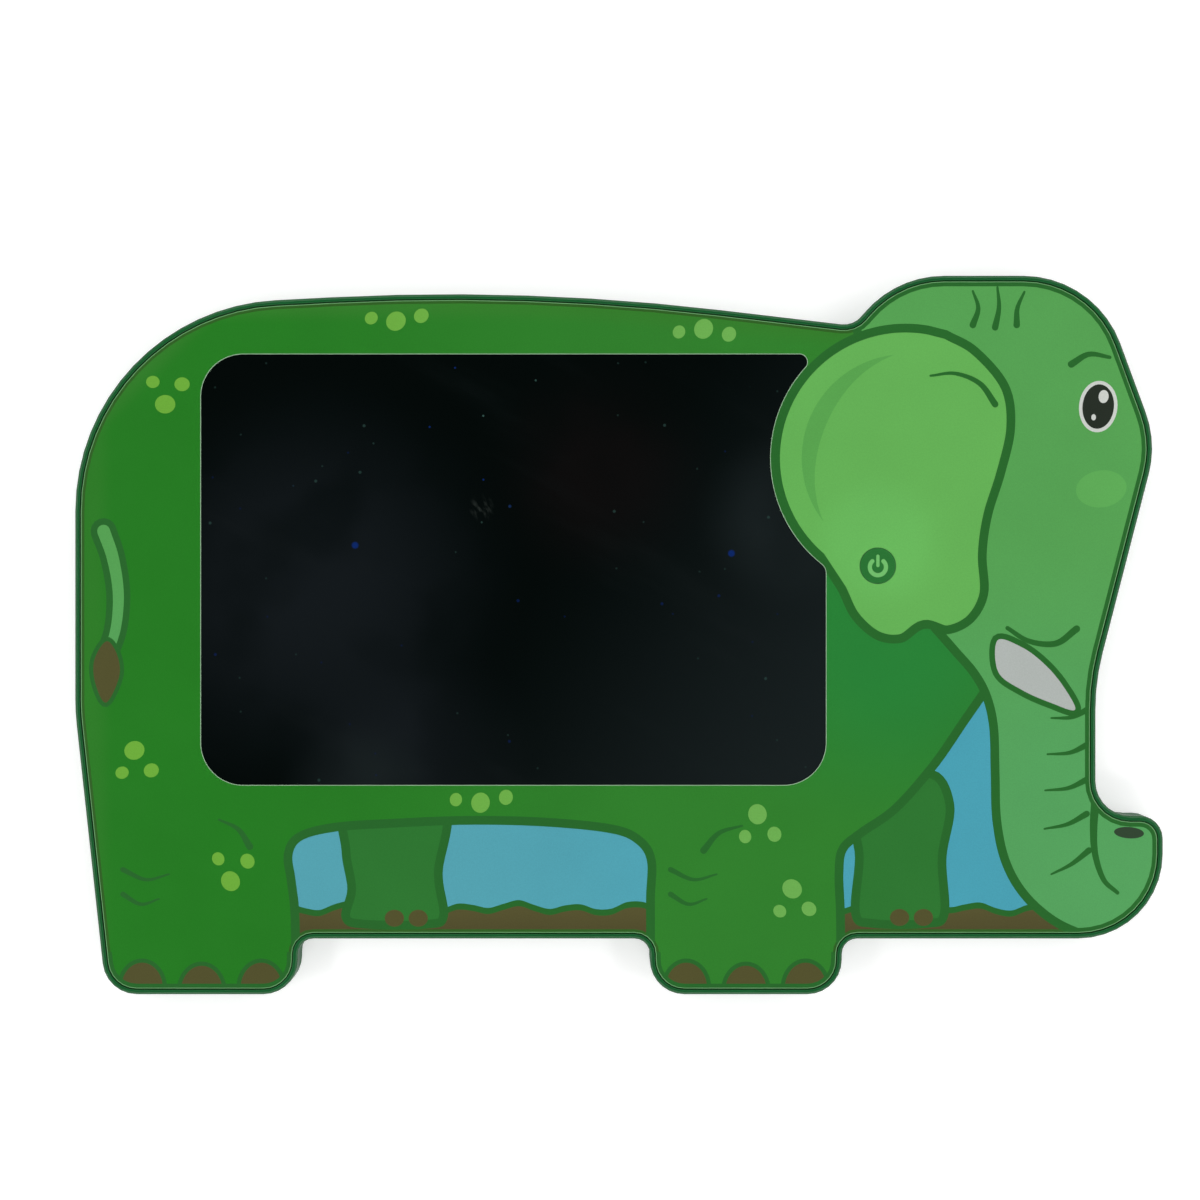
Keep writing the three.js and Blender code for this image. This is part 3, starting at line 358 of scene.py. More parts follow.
def flat_top(node):
    """The outlines of a node's highest flat face in millimetres, longest first, and that face's height."""
    bm = merged_copy(node)
    top = max(v.co.z for v in bm.verts)
    lower = [f for f in bm.faces if min(v.co.z for v in f.verts) < top - 1e-6]
    bmesh.ops.delete(bm, geom=lower, context="FACES")
    loops = [[Vector((v.co.x, v.co.y)) / MM for v in loop] for loop in open_loops(bm)]
    bm.free()
    return sorted(loops, key=lambda loop: -abs(signed_area(loop))), top / MM


def film(name, points, triangles, paints, height, bottom, edge_drop):
    """A closed sheet from flat triangles. Each has its paint's number, and height gives the top above a point."""
    bm = bmesh.new()
    upper = [bm.verts.new((p.x * MM, p.y * MM, height(p) * MM)) for p in points]
    lower = [bm.verts.new((p.x * MM, p.y * MM, bottom * MM)) for p in points]
    seen = {}
    for corners, paint in zip(triangles, paints):
        for order, ring in ((corners, upper), (corners[::-1], lower)):
            face = bm.faces.new([ring[i] for i in order])
            face.material_index = paint
        for a, b in zip(corners, list(corners[1:]) + [corners[0]]):
            seen[a, b] = paint
    rim = [(a, b) for a, b in seen if (b, a) not in seen]
    for a, b in rim:
        face = bm.faces.new([lower[a], lower[b], upper[b], upper[a]])
        face.material_index = seen[a, b]
    for i in {i for edge in rim for i in edge}:
        upper[i].co.z -= edge_drop * MM
    loose = [v for v in bm.verts if not v.link_faces]
    bmesh.ops.delete(bm, geom=loose, context="VERTS")
    return mesh_from(bm, name)


def lathe(name, profile, sides=64, along="Z", at=(0, 0, 0)):
    """A turned shape about an axis from (radius, height) pairs that start and end on it, all in millimetres."""
    bm = bmesh.new()
    verts = [bm.verts.new((r * MM, 0, z * MM)) for r, z in profile]
    edges = [bm.edges.new(pair) for pair in zip(verts, verts[1:])]
    bmesh.ops.spin(
        bm, geom=verts + edges, cent=(0, 0, 0), axis=(0, 0, 1), angle=2 * math.pi, steps=sides, use_duplicate=False
    )
    bmesh.ops.remove_doubles(bm, verts=bm.verts, dist=1e-7)
    flat = [f for f in bm.faces if f.calc_area() < 1e-14]
    bmesh.ops.delete(bm, geom=flat, context="FACES_ONLY")
    bmesh.ops.recalc_face_normals(bm, faces=bm.faces)
    if along == "X":
        bmesh.ops.rotate(bm, verts=bm.verts, cent=(0, 0, 0), matrix=Matrix.Rotation(math.pi / 2, 3, "Y"))
    bmesh.ops.translate(bm, verts=bm.verts, vec=Vector(at) * MM)
    return mesh_from(bm, name)


# Materials


def linear(colour):
    """A colour as light adds up, from the steps of a screen."""
    return [c / 12.92 if c <= 0.04045 else ((c + 0.055) / 1.055) ** 2.4 for c in colour] + [1.0]


def add(tree, kind, inputs=(), **options):
    """Adds a node with its options, and sets or links its inputs."""
    made = tree.nodes.new(kind)
    for name, value in options.items():
        setattr(made, name, value)
    for name, value in dict(inputs).items():
        if isinstance(value, bpy.types.NodeSocket):
            tree.links.new(value, made.inputs[name])
        else:
            made.inputs[name].default_value = value
    return made


def calc(tree, how, first, second=0.0, **options):
    """Calculates with one or two values."""
    return add(tree, "ShaderNodeMath", {0: first, 1: second}, operation=how, **options).outputs[0]


def plain(tree, colour):
    """One colour all over."""
    made = add(tree, "ShaderNodeRGB")
    made.outputs[0].default_value = linear(colour)
    return made.outputs[0]


def mixed(tree, factor, first, second):
    """Mixes two colours."""
    return add(tree, "ShaderNodeMix", {0: factor, 6: first, 7: second}, data_type="RGBA").outputs[2]


def remapped(tree, value, low, high, to_low=0.0, to_high=1.0, how="SMOOTHSTEP"):
    """Maps a value from one range to another and keeps it inside."""
    inputs = {"Value": value, "From Min": low, "From Max": high, "To Min": to_low, "To Max": to_high}
    return add(tree, "ShaderNodeMapRange", inputs, interpolation_type=how).outputs[0]


def noise(tree, where, width, detail=2.0, stretch=None, turn=0.0):
    """Noise whose blotches are about as wide as given, in millimetres, optionally stretched."""
    if stretch:
        inputs = {"Vector": where, "Scale": stretch, "Rotation": (0, 0, turn)}
        where = add(tree, "ShaderNodeMapping", inputs, vector_type="TEXTURE").outputs[0]
    inputs = {"Vector": where, "Scale": 1 / (width * MM), "Detail": detail}
    return add(tree, "ShaderNodeTexNoise", inputs).outputs[0]


def along_line(tree, where, start, end):
    """0 at one point of the face and 1 at another, in millimetres, smooth in between."""
    start, end = Vector((*start, 0)) * MM, Vector((*end, 0)) * MM
    way = end - start
    offset = add(tree, "ShaderNodeVectorMath", {0: where, 1: start}, operation="SUBTRACT").outputs[0]
    inputs = {0: offset, 1: way / way.length_squared}
    return remapped(tree, add(tree, "ShaderNodeVectorMath", inputs, operation="DOT_PRODUCT").outputs["Value"], 0, 1)


def round_point(tree, where, centre, inner, outer):
    """1 within a radius of a point and 0 outside another, in millimetres."""
    inputs = {0: where, 1: Vector(centre) * MM}
    distance = add(tree, "ShaderNodeVectorMath", inputs, operation="DISTANCE").outputs["Value"]
    return remapped(tree, distance, inner * MM, outer * MM, 1, 0)


def blank_tree(owner):
    """The emptied node tree of a material or a world."""
    owner.use_nodes = True
    owner.node_tree.nodes.clear()
    return owner.node_tree


def new_finish(name):
    """An empty material with its object coordinates and its shader."""
    material = bpy.data.materials.new(name)
    tree = blank_tree(material)
    where = add(tree, "ShaderNodeTexCoord").outputs["Object"]
    shader = add(tree, "ShaderNodeBsdfPrincipled")
    add(tree, "ShaderNodeOutputMaterial", {"Surface": shader.outputs[0]})
    return material, tree, where, shader


def mottled(tree, colour, pattern, depth):
    """A colour made a little darker and lighter by a pattern."""
    level = remapped(tree, pattern, 0.25, 0.75, 1 - depth, 1 + depth, "LINEAR")
    scaled = add(tree, "ShaderNodeVectorMath", {0: colour, "Scale": level}, operation="SCALE")
    return scaled.outputs[0]


def uneven(tree, pattern, least, most):
    """A roughness that follows a pattern between two values."""
    return remapped(tree, pattern, 0.3, 0.7, least, most, "LINEAR")


def completed(tree, shader, shade, gloss, relief, depth, specular=0.5):
    """Gives a shader its colour, roughness and sheen, and raises its relief by a depth in millimetres."""
    shader.inputs["Specular IOR Level"].default_value = specular
    bump = add(tree, "ShaderNodeBump", {"Height": relief, "Distance": depth * MM, "Strength": 1.0}).outputs[0]
    for socket, source in (("Base Color", shade), ("Roughness", gloss), ("Normal", bump)):
        tree.links.new(source, shader.inputs[socket])


def ink(name, colour, far_colour=None, line=None, extra=None):
    """Printed ink under a clear film: soft change of colour, fine print grain and a slight orange peel."""
    material, tree, where, shader = new_finish(name)
    shade = plain(tree, colour)
    if far_colour:
        shade = mixed(tree, along_line(tree, where, *line), shade, linear(far_colour))
    if extra:
        shade = extra(tree, where, shade)
    shade = mottled(tree, shade, noise(tree, where, 24, 3), 0.035)
    shade = mottled(tree, shade, noise(tree, where, 0.35, 1), 0.05)
    gloss = uneven(tree, noise(tree, where, 9, 4), 0.33, 0.36)
    completed(tree, shader, shade, gloss, noise(tree, where, 1.4, 2), 0.003, 0.2)
    return material


def moulded(name, colour, roughness, grain=0.22, depth=0.005, specular=0.45):
    """Moulded plastic: fine spark grain, faint flow marks and uneven gloss."""
    material, tree, where, shader = new_finish(name)
    flow = noise(tree, where, 7, 3, (4, 1, 1), 0.4)
    fine = noise(tree, where, grain, 2)
    shade = mottled(tree, mottled(tree, plain(tree, colour), flow, 0.05), fine, 0.06)
    gloss = uneven(tree, noise(tree, where, 5, 4), roughness - 0.04, roughness + 0.06)
    completed(tree, shader, shade, gloss, fine, depth, specular)
    return material


def metal(name, colour, roughness, brushed=(1, 1, 1)):
    """Bare metal with fine brushing and dull patches."""
    material, tree, where, shader = new_finish(name)
    scratches = noise(tree, where, 0.12, 3, brushed)
    shade = mottled(tree, plain(tree, colour), noise(tree, where, 1.8, 3), 0.08)
    shader.inputs["Metallic"].default_value = 1.0
    completed(tree, shader, shade, uneven(tree, scratches, roughness - 0.07, roughness + 0.1), scratches, 0.004)
    return material


def specks(tree, where, apart, radius, part):
    """Soft round specks, one in a part of the cells of a given width, and a number from 0 to 1 for each cell."""
    inputs = {"Vector": where, "Scale": 1 / (apart * MM)}
    cells = add(tree, "ShaderNodeTexVoronoi", inputs, voronoi_dimensions="2D")
    chance = add(tree, "ShaderNodeSeparateColor", {0: cells.outputs["Color"]}).outputs
    dot = remapped(tree, cells.outputs["Distance"], 0.5 * radius / apart, radius / apart, 1, 0)
    chosen = remapped(tree, chance[0], 1 - part, 1 - part + 0.01)
    return calc(tree, "MULTIPLY", dot, chosen), chance[1]


def coated_screen(name, s, box):
    """The cleared writing screen: near black, with soft patches, faint wiping marks, a rubbed mark and a few specks."""
    material, tree, where, shader = new_finish(name)
    low, high = box
    left = low.x / MM

    def round_place(x, y, inner, outer):
        """1 within a radius of a place on the screen, given from its left edge, and 0 outside another."""
        return round_point(tree, where, (left + x, y, high.z / MM), inner, outer)

    cloud = remapped(tree, noise(tree, where, 30, 2), 0.35, 0.6, 0.55, 1)
    shade = plain(tree, s.dark)
    tinted = ((34, 12, 60, s.cold), (59, -32, 36, s.cold), (110, 43, 34, s.warm))
    hazy = ((48, -44, 24, s.haze), (159, 30, 26, s.haze))
    for x, y, outer, colour in tinted + hazy:
        shade = mixed(tree, calc(tree, "MULTIPLY", round_place(x, y, 6, outer), cloud), shade, linear(colour))

    middle = ((low.x + high.x) / 2 / MM, (low.y + high.y) / 2 / MM)
    fade = along_line(tree, where, middle, (high.x / MM, low.y / MM))
    wipe = remapped(tree, noise(tree, where, 14, 4, (5, 1, 1), -0.5), 0.55, 0.85)
    amount = calc(tree, "ADD", calc(tree, "MULTIPLY", wipe, 0.12), fade, use_clamp=True)
    shade = mixed(tree, amount, shade, linear(s.haze))

    streaks = remapped(tree, noise(tree, where, 1.1, 3, (1, 3, 1), 0.5), 0.46, 0.72)
    shade = mixed(tree, calc(tree, "MULTIPLY", round_place(79, 33, 0.2, 4), streaks), shade, linear(s.smudge))

    crowd = round_place(79, 55, 8, 34)
    for apart, radius, part, least in ((34, 1.1, 0.2, 1), (13, 0.5, 0.2, 0.35), (7, 0.34, 0.14, 0.2)):
        seen, kind = specks(tree, where, apart, radius, part)
        seen = calc(tree, "MULTIPLY", seen, remapped(tree, crowd, 0, 1, least, 1, "LINEAR"))
        colour = mixed(tree, remapped(tree, kind, 0.5, 0.6), linear(s.speck), linear(s.blue_speck))
        shade = mixed(tree, seen, shade, colour)

    gloss = remapped(tree, wipe, 0, 1, s.roughness, s.roughness + 0.1, "LINEAR")
    completed(tree, shader, shade, gloss, noise(tree, where, 3, 2), 0.002, 0.1)
    return material


def board_finish(name, colour):
    """Green solder resist over copper tracks."""
    material, tree, where, shader = new_finish(name)
    grid = {"Vector": where, "Scale": 1 / (9 * MM), "Mortar Size": 0.02, "Color1": (0, 0, 0, 1)}
    grid.update({"Color2": (0, 0, 0, 1), "Mortar": (1, 1, 1, 1)})
    tracks = add(tree, "ShaderNodeTexBrick", grid).outputs["Fac"]
    lighter = [min(1, c * 1.5) for c in colour]
    shade = mixed(tree, tracks, plain(tree, colour), linear(lighter))
    shade = mottled(tree, shade, noise(tree, where, 0.5, 2), 0.08)
    completed(tree, shader, shade, uneven(tree, noise(tree, where, 3), 0.25, 0.4), tracks, 0.02)
    return material


# Repeated shapes, made by Geometry Nodes


def new_tree(name, sizes, geometry_in=True):
    """An empty Geometry Nodes tree with named inputs, given as (name, socket type)."""
    tree = bpy.data.node_groups.new(name, "GeometryNodeTree")
    if geometry_in:
        tree.interface.new_socket("Geometry", in_out="INPUT", socket_type="NodeSocketGeometry")
    for label, kind in sizes:
        tree.interface.new_socket(label, in_out="INPUT", socket_type=kind)
    tree.interface.new_socket("Geometry", in_out="OUTPUT", socket_type="NodeSocketGeometry")
    return tree, tree.nodes.new("NodeGroupInput").outputs


def close_tree(tree, geometry, finish):
    """Ends a tree in real geometry with its material."""
    real = add(tree, "GeometryNodeRealizeInstances", {"Geometry": geometry})
    painted = add(tree, "GeometryNodeSetMaterial", {"Geometry": real.outputs[0], "Material": finish})
    add(tree, "NodeGroupOutput", {0: painted.outputs[0]})
    return tree


def screw_tree():
    """One screw on each point, each turned by its own angle."""
    sizes = [("Screw", "NodeSocketObject"), ("Finish", "NodeSocketMaterial"), ("Seed", "NodeSocketInt")]
    tree, given = new_tree("screws_on_points", sizes)
    shape = add(tree, "GeometryNodeObjectInfo", {"Object": given["Screw"]}).outputs["Geometry"]
    turn = add(tree, "FunctionNodeRandomValue", {"Seed": given["Seed"], 3: math.pi / 2}, data_type="FLOAT")
    angles = add(tree, "ShaderNodeCombineXYZ", {"Z": turn.outputs[1]}).outputs[0]
    inputs = {"Points": given["Geometry"], "Instance": shape, "Rotation": angles}
    rows = add(tree, "GeometryNodeInstanceOnPoints", inputs).outputs[0]
    return close_tree(tree, rows, given["Finish"])


def rib_tree():
    """A row of rounded ribs along X from the first point of the mesh given."""
    sizes = [("Count", "NodeSocketInt"), ("Pitch", "NodeSocketFloat"), ("Length", "NodeSocketFloat")]
    sizes += [("Width", "NodeSocketFloat"), ("Height", "NodeSocketFloat"), ("Finish", "NodeSocketMaterial")]
    tree, given = new_tree("grip_ribs", sizes)
    bar = add(tree, "GeometryNodeMeshCylinder", {"Vertices": 20, "Radius": 1.0, "Depth": given["Length"]})
    lying = add(tree, "GeometryNodeTransform", {"Geometry": bar.outputs["Mesh"], "Rotation": (math.pi / 2, 0, 0)})
    half = calc(tree, "MULTIPLY", given["Width"], 0.5)
    flat = add(tree, "ShaderNodeCombineXYZ", {"X": half, "Y": 1.0, "Z": given["Height"]}).outputs[0]
    shape = add(tree, "GeometryNodeTransform", {"Geometry": lying.outputs[0], "Scale": flat}).outputs[0]
    step = add(tree, "ShaderNodeCombineXYZ", {"X": given["Pitch"]}).outputs[0]
    row = add(tree, "GeometryNodeMeshLine", {"Count": given["Count"], "Offset": step}).outputs[0]
    ribs = add(tree, "GeometryNodeInstanceOnPoints", {"Points": row, "Instance": shape}).outputs[0]
    sets = add(tree, "GeometryNodeInstanceOnPoints", {"Points": given["Geometry"], "Instance": ribs}).outputs[0]
    return close_tree(tree, sets, given["Finish"])


def barrel_tree():
    """A round barrel along Z with shallow grip rings cut into it."""
    sizes = [("Radius", "NodeSocketFloat"), ("Length", "NodeSocketFloat"), ("First", "NodeSocketFloat")]
    sizes += [("Pitch", "NodeSocketFloat"), ("Depth", "NodeSocketFloat"), ("Rings", "NodeSocketInt")]
    sizes += [("Finish", "NodeSocketMaterial")]
    tree, given = new_tree("ringed_barrel", sizes, False)
    inputs = {"Vertices": 56, "Side Segments": 420, "Radius": given["Radius"], "Depth": given["Length"]}
    tube = add(tree, "GeometryNodeMeshCylinder", inputs).outputs["Mesh"]
    x, y, z = add(tree, "ShaderNodeSeparateXYZ", {0: add(tree, "GeometryNodeInputPosition").outputs[0]}).outputs
    count = calc(tree, "DIVIDE", calc(tree, "SUBTRACT", z, given["First"]), given["Pitch"])
    past_first = calc(tree, "GREATER_THAN", count, 0)
    inside = calc(tree, "MULTIPLY", past_first, calc(tree, "LESS_THAN", count, given["Rings"]))
    phase = calc(tree, "SUBTRACT", calc(tree, "FRACT", count), 0.5)
    slope = calc(tree, "MULTIPLY", calc(tree, "MULTIPLY", phase, phase), 16)
    valley = calc(tree, "MULTIPLY", calc(tree, "MAXIMUM", calc(tree, "SUBTRACT", 1.0, slope), 0), inside)
    drop = calc(tree, "MULTIPLY", valley, calc(tree, "DIVIDE", given["Depth"], given["Radius"]))
    scale = calc(tree, "SUBTRACT", 1.0, drop)
    inputs = {"X": calc(tree, "MULTIPLY", x, scale), "Y": calc(tree, "MULTIPLY", y, scale), "Z": z}
    moved = add(tree, "ShaderNodeCombineXYZ", inputs).outputs[0]
    tube = add(tree, "GeometryNodeSetPosition", {"Geometry": tube, "Position": moved}).outputs[0]
    return close_tree(tree, tube, given["Finish"])


def grown_mesh(name, tree, points, values):
    """Runs a Geometry Nodes tree on some points and gives the plain mesh that it makes, without its materials."""
    seed = bpy.data.meshes.new(name)
    seed.from_pydata([Vector(p) * MM for p in points], [], [])
    carrier = link(name + "_source", seed)
    modifier = carrier.modifiers.new("make", "NODES")
    modifier.node_group = tree
    for item in tree.interface.items_tree:
        if item.in_out == "INPUT" and item.name in values:
            modifier[item.identifier] = values[item.name]
    view = bpy.context.evaluated_depsgraph_get()
    mesh = bpy.data.meshes.new_from_object(carrier.evaluated_get(view))
    mesh.name = name
    mesh.materials.clear()
    bpy.data.objects.remove(carrier)
    return mesh


# The printed face


def button_place():
    """The middle of the erase button, in millimetres."""
    low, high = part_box("erase_button_cap")
    return Vector(((low.x + high.x) / 2, (low.y + high.y) / 2)) / MM


def leg_shapes(sizes):
    """Sky, earth, legs and toenails under the body: (ink, outline) pairs."""
    line = sizes.line_width / MM
    under_belly = [(-88, -47), (-88, -76), (14, -76), (14, -47)]
    under_throat = [(56, -50), (60, -52), (78, -42), (90, -16), (94, -10), (104, -10), (112, -76), (56, -76)]
    shapes = [("sky", [Vector(p) for p in corners]) for corners in (under_belly, under_throat)]
    for left, right in ((-90, 14), (54, 116)):
        wave = [(x, -71.2 + 0.9 * math.sin(x * 0.42) + 0.5 * math.sin(x * 0.17)) for x in range(left, right + 1, 4)]
        shapes.append(("line", [*smooth([(x, y + 0.9) for x, y in wave]), Vector((right, -95)), Vector((left, -95))]))
        shapes.append(("earth", [*smooth([(x, y - 0.7) for x, y in wave]), Vector((right, -95)), Vector((left, -95))]))
    hind = [(-70, -44), (-71, -56), (-69.5, -66), (-71, -73.4), (-66, -75.2), (-50, -75.2), (-45.6, -73)]
    hind += [(-47, -62), (-46, -44)]
    fore = [(62, -44), (62.5, -58), (61.5, -72.4), (66, -75), (80, -75), (84.6, -72.4), (84, -58), (86, -44), (80, -36)]
    for leg, foot in ((hind, -58.3), (fore, 73.05)):
        outline = smooth(leg, True)
        shapes += [("line", grown(outline, line / 2)), ("far_leg", grown(outline, -line / 2))]
        sole = min(p[1] for p in leg) + line / 2
        for step in (-0.1, 6.1):
            shapes.append(("nail", oval(foot + step, sole + 0.4, 2.5, 2.2)))
    return shapes


def near_leg_shapes(sizes):
    """The two near legs, the belly line and their toenails."""
    line = sizes.line_width / MM
    hind = [(-84.2, -96), (-84.2, -74), (-85.2, -64), (-86, -57), (-83, -52.4), (-74, -50), (-60, -49)]
    belly = [(-60, -49), (-40, -48.2), (-20, -48.6), (-2, -50.4), (5.2, -53.4), (8.4, -58.6), (8.2, -68), (8.2, -78)]
    belly.append((8.2, -96))
    chest = [(57.6, -96), (57.6, -74), (57.2, -62), (58.2, -55.6), (63, -51.4), (72, -45), (82, -33.6), (90, -22)]
    chest.append((97, -12))
    under = smooth(hind + belly[1:])
    shapes = [
        ("body", [Vector((-150, -96)), *smooth(hind[:5]), Vector((-80, -40)), Vector((-150, -40))]),
        ("body", [*smooth(belly[4:])[::-1], Vector((5, -40)), Vector((58, -40)), *smooth(chest[:4])[::-1]]),
        ("body", [*under[len(under) // 4 : -len(under) // 4], Vector((5, -30)), Vector((-84, -30))]),
        ("body", [*smooth(chest[3:]), Vector((80, 0)), Vector((40, 0)), Vector((40, -56))]),
        ("line", brush(under, line)),
        stroke(chest, line),
        stroke([(-96, -55), (-99, -50.5), (-104, -48)], line * 0.8, 0.3),
        stroke([(22, -56), (26, -51.5), (32, -49.6)], line * 0.8, 0.3),
    ]
    for left in (-129, 13.4):
        for drop, width in ((0, 12), (-6.4, 9.4)):
            knee = [(left, -61 + drop), (left + width / 2, -63.6 + drop), (left + width, -62.2 + drop)]
            shapes.append(stroke(knee, line * 0.6, 0.35))
    for middle in (-108.5, 33):
        for step, lift in ((-15.5, 0.8), (0, 0), (15.5, 0.8)):
            nail = oval(middle + step, -92.6 + lift, 5.4, 6.6)
            shapes += [("line", grown(nail, 1.1)), ("nail", nail)]
    return shapes


def head_shapes(sizes):
    """Head, trunk, tusk, mouth and eye."""
    line = sizes.line_width / MM
    throat = [(82, 2), (87.6, -4.4), (92.4, -10), (95.6, -16), (97.4, -24), (97.8, -36), (98.2, -48), (100.4, -58.6)]
    throat += [(105, -67), (112, -73.6), (120, -77.6), (130, -80)]
    neck = [(60.6, 96), (61.2, 83), (62.6, 77), (66, 68), (68, 50)]
    fill = [*smooth(neck), Vector((70, 10)), *smooth(throat), Vector((160, -96)), Vector((160, 96))]
    shapes = [("head", fill), stroke(neck, line), stroke(throat, line)]
    wrinkles = [
        [(121.6, -19.5), (117.6, -21.4), (112.4, -21.6)],
        [(121.8, -28.5), (117.2, -30.6), (111.4, -31)],
        [(121.8, -37.5), (116.8, -39.8), (110.8, -40.4)],
        [(121.6, -46.5), (116.6, -49.2), (110.6, -50.4)],
        [(122.2, -56), (117.6, -59.6), (112.4, -62.2)],
    ]
    shapes += [stroke(wrinkle, line * 0.72, 0.3) for wrinkle in wrinkles]
    crease = [(123.9, -43), (123.4, -50), (123.8, -57), (126, -63.6), (129.6, -67)]
    shapes += [stroke(crease, line, 0.45), ("nostril", oval(132.6, -51.4, 3.9, 1.5, -4))]
    tusk = [(98.4, -1.4), (104.4, -3), (110, -7), (115, -12.6), (118.6, -19.4), (112.2, -17.6), (104.6, -14.2)]
    tusk = smooth([*tusk, (98.6, -9.6)], True)
    eye = oval(124.6, 59.4, 4.1, 5.8, -6)
    shapes += [
        ("line", grown(tusk, 1.5)),
        ("ivory", tusk),
        stroke([(119, 1.6), (113.6, -2.2), (106.6, -1.6), (101, 1.8)], line * 0.8, 0.6),
        stroke([(117.6, 70.4), (122.2, 73), (127.6, 72.2)], line * 0.8, 0.5),
        ("glint", grown(eye, 0.9)),
        ("eye", eye),
        ("glint", oval(126, 62, 1.3, 1.7, -6)),
        ("glint", oval(123.4, 56.6, 0.6, 0.8)),
        ("blush", oval(125.4, 38, 6.6, 4.8, 8)),
    ]
    hairs = [
        [(92, 80.6), (93.4, 85), (92, 89.4)],
        [(97.8, 80), (98.8, 85.2), (98.4, 90.4)],
        [(103.4, 80.6), (103.6, 85), (105.4, 89.2)],
    ]
    return shapes + [stroke(hair, line * 0.75, 0.35) for hair in hairs]


def ear_shapes(sizes, button):
    """The fan-shaped ear that holds the button and bites into the window."""
    line = sizes.line_width / MM
    centre = button + Vector((7.2, 28))
    lobes = [(57, 11.4), (60.6, 4.2), (66.8, -1.2), (73.6, -2), (79.4, 1.6), (85.6, 0.2), (92.2, 3.4), (96, 10.6)]
    side = [(95.6, 21), (97, 31), (100.4, 42), (103, 54), (101.4, 65), (93.4, 74.6), (85.4, 79.2)]
    edge = arc(*centre, 34.95, 80, 229, 60) + smooth(lobes + side)
    return [
        ("line", edge),
        ("ear", grown(edge, -line)),
        ("ear_shade", crescent(centre, 27, 4.6, 96, 218)),
        stroke([(97.8, 60), (93.8, 65.4), (87.4, 68), (81, 67.4)], line * 0.75, 0.35),
    ]


def marking_shapes(sizes):
    """Spots on the hide, and the tail with its tuft."""
    line = sizes.line_width / MM
    large = sizes.spot_radius / MM
    shapes = []
    groups = [(-118, 60), (-126, -30), (-58, 81.6), (22, 79.6), (-36, -43.6), (36, -46.6), (-101, -64), (45, -66)]
    for i, (x, y) in enumerate(groups):
        flat = abs(x) < 60 and y > 60 or y == -43.6
        row = ((0, 0, 1), (6.6, 1.4, 0.75), (-6.4, 0.8, 0.66))
        clump = ((0, 0, 1), (4.4, 5.2, 0.75), (-3.2, 5.8, 0.66))
        for dx, dy, part in row if flat else clump:
            shapes.append(("spot", oval(x + dx, y + dy * (-1) ** i, large * part * 1.1, large * part, 20 * i)))
    tail = smooth([(-134, 27), (-131.6, 20), (-130.2, 11), (-130.8, 2), (-133, -5)])
    tuft = smooth([(-133.2, -1.6), (-130.4, -5.4), (-130, -11), (-133.4, -17.6), (-136.2, -12.4), (-136.4, -6.4)], True)
    shapes += [
        ("line", brush(tail, 6.8, 0.85)),
        ("head", brush(tail, 6.8 - 1.5 * line, 0.72)),
        ("line", grown(tuft, 1.1)),
        ("nail", tuft),
    ]
    return shapes


FACE_INKS = (
    "body head line ear ear_shade sky earth far_leg nail ivory eye glint nostril spot blush border hairline cut_edge"
).split()


def face_inks(s, button):
    """The material of each ink in FACE_INKS, in that order."""
    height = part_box("printed_face")[1].z / MM

    def glow(tree, where, shade):
        """A paler green painted round the button that reaches up the ear: a painted highlight for the light caught by
        the raised ring.
        """
        near = round_point(tree, where, (button.x, button.y + 6, height), 8, 20)
        return mixed(tree, near, shade, linear(s.ear_painted_highlight))

    def hide(tree, where, shade):
        """The neck's shade, and a warmer one along the top, the rump and the left."""
        shade = mixed(tree, round_point(tree, where, (72, 4, height), 14, 60), shade, linear(s.shoulder))
        top = (((0, 80.6), (0, 86), 1), ((0, 79.3), (0.53, 84.6), 1))
        left = (((-116.6, 68.6), (-120.5, 72.5), 0.8), ((-131, 0), (-136.5, 0), 0.5))
        for inner, outer, part in top + left:
            near = calc(tree, "MULTIPLY", along_line(tree, where, inner, outer), part)
            shade = mixed(tree, near, shade, linear(s.body_rim))
        return shade

    even = "line ear_shade far_leg ivory eye glint nostril border hairline cut_edge nail".split()
    made = {name: ink("ink_" + name, getattr(s, name)) for name in even}
    made["body"] = ink("ink_body", s.body, s.back, ((-114, 0), (26, 0)), hide)
    made["spot"] = ink("ink_spot", s.spot, s.spot_back, ((-114, 0), (40, 0)))
    made["head"] = ink("ink_head", s.head, s.trunk, ((110, 30), (110, -40)))
    made["ear"] = ink("ink_ear", s.ear, extra=glow)
    made["sky"] = ink("ink_sky", s.sky, s.sky_fore, ((-60, -60), (80, -60)))
    made["earth"] = ink("ink_earth", s.earth, [c * 0.9 for c in s.earth], ((0, -70), (0, -79)))
    made["blush"] = ink("ink_blush", [a * 0.55 + b * 0.45 for a, b in zip(s.head, s.ear_painted_highlight)])
    return [made[name] for name in FACE_INKS]


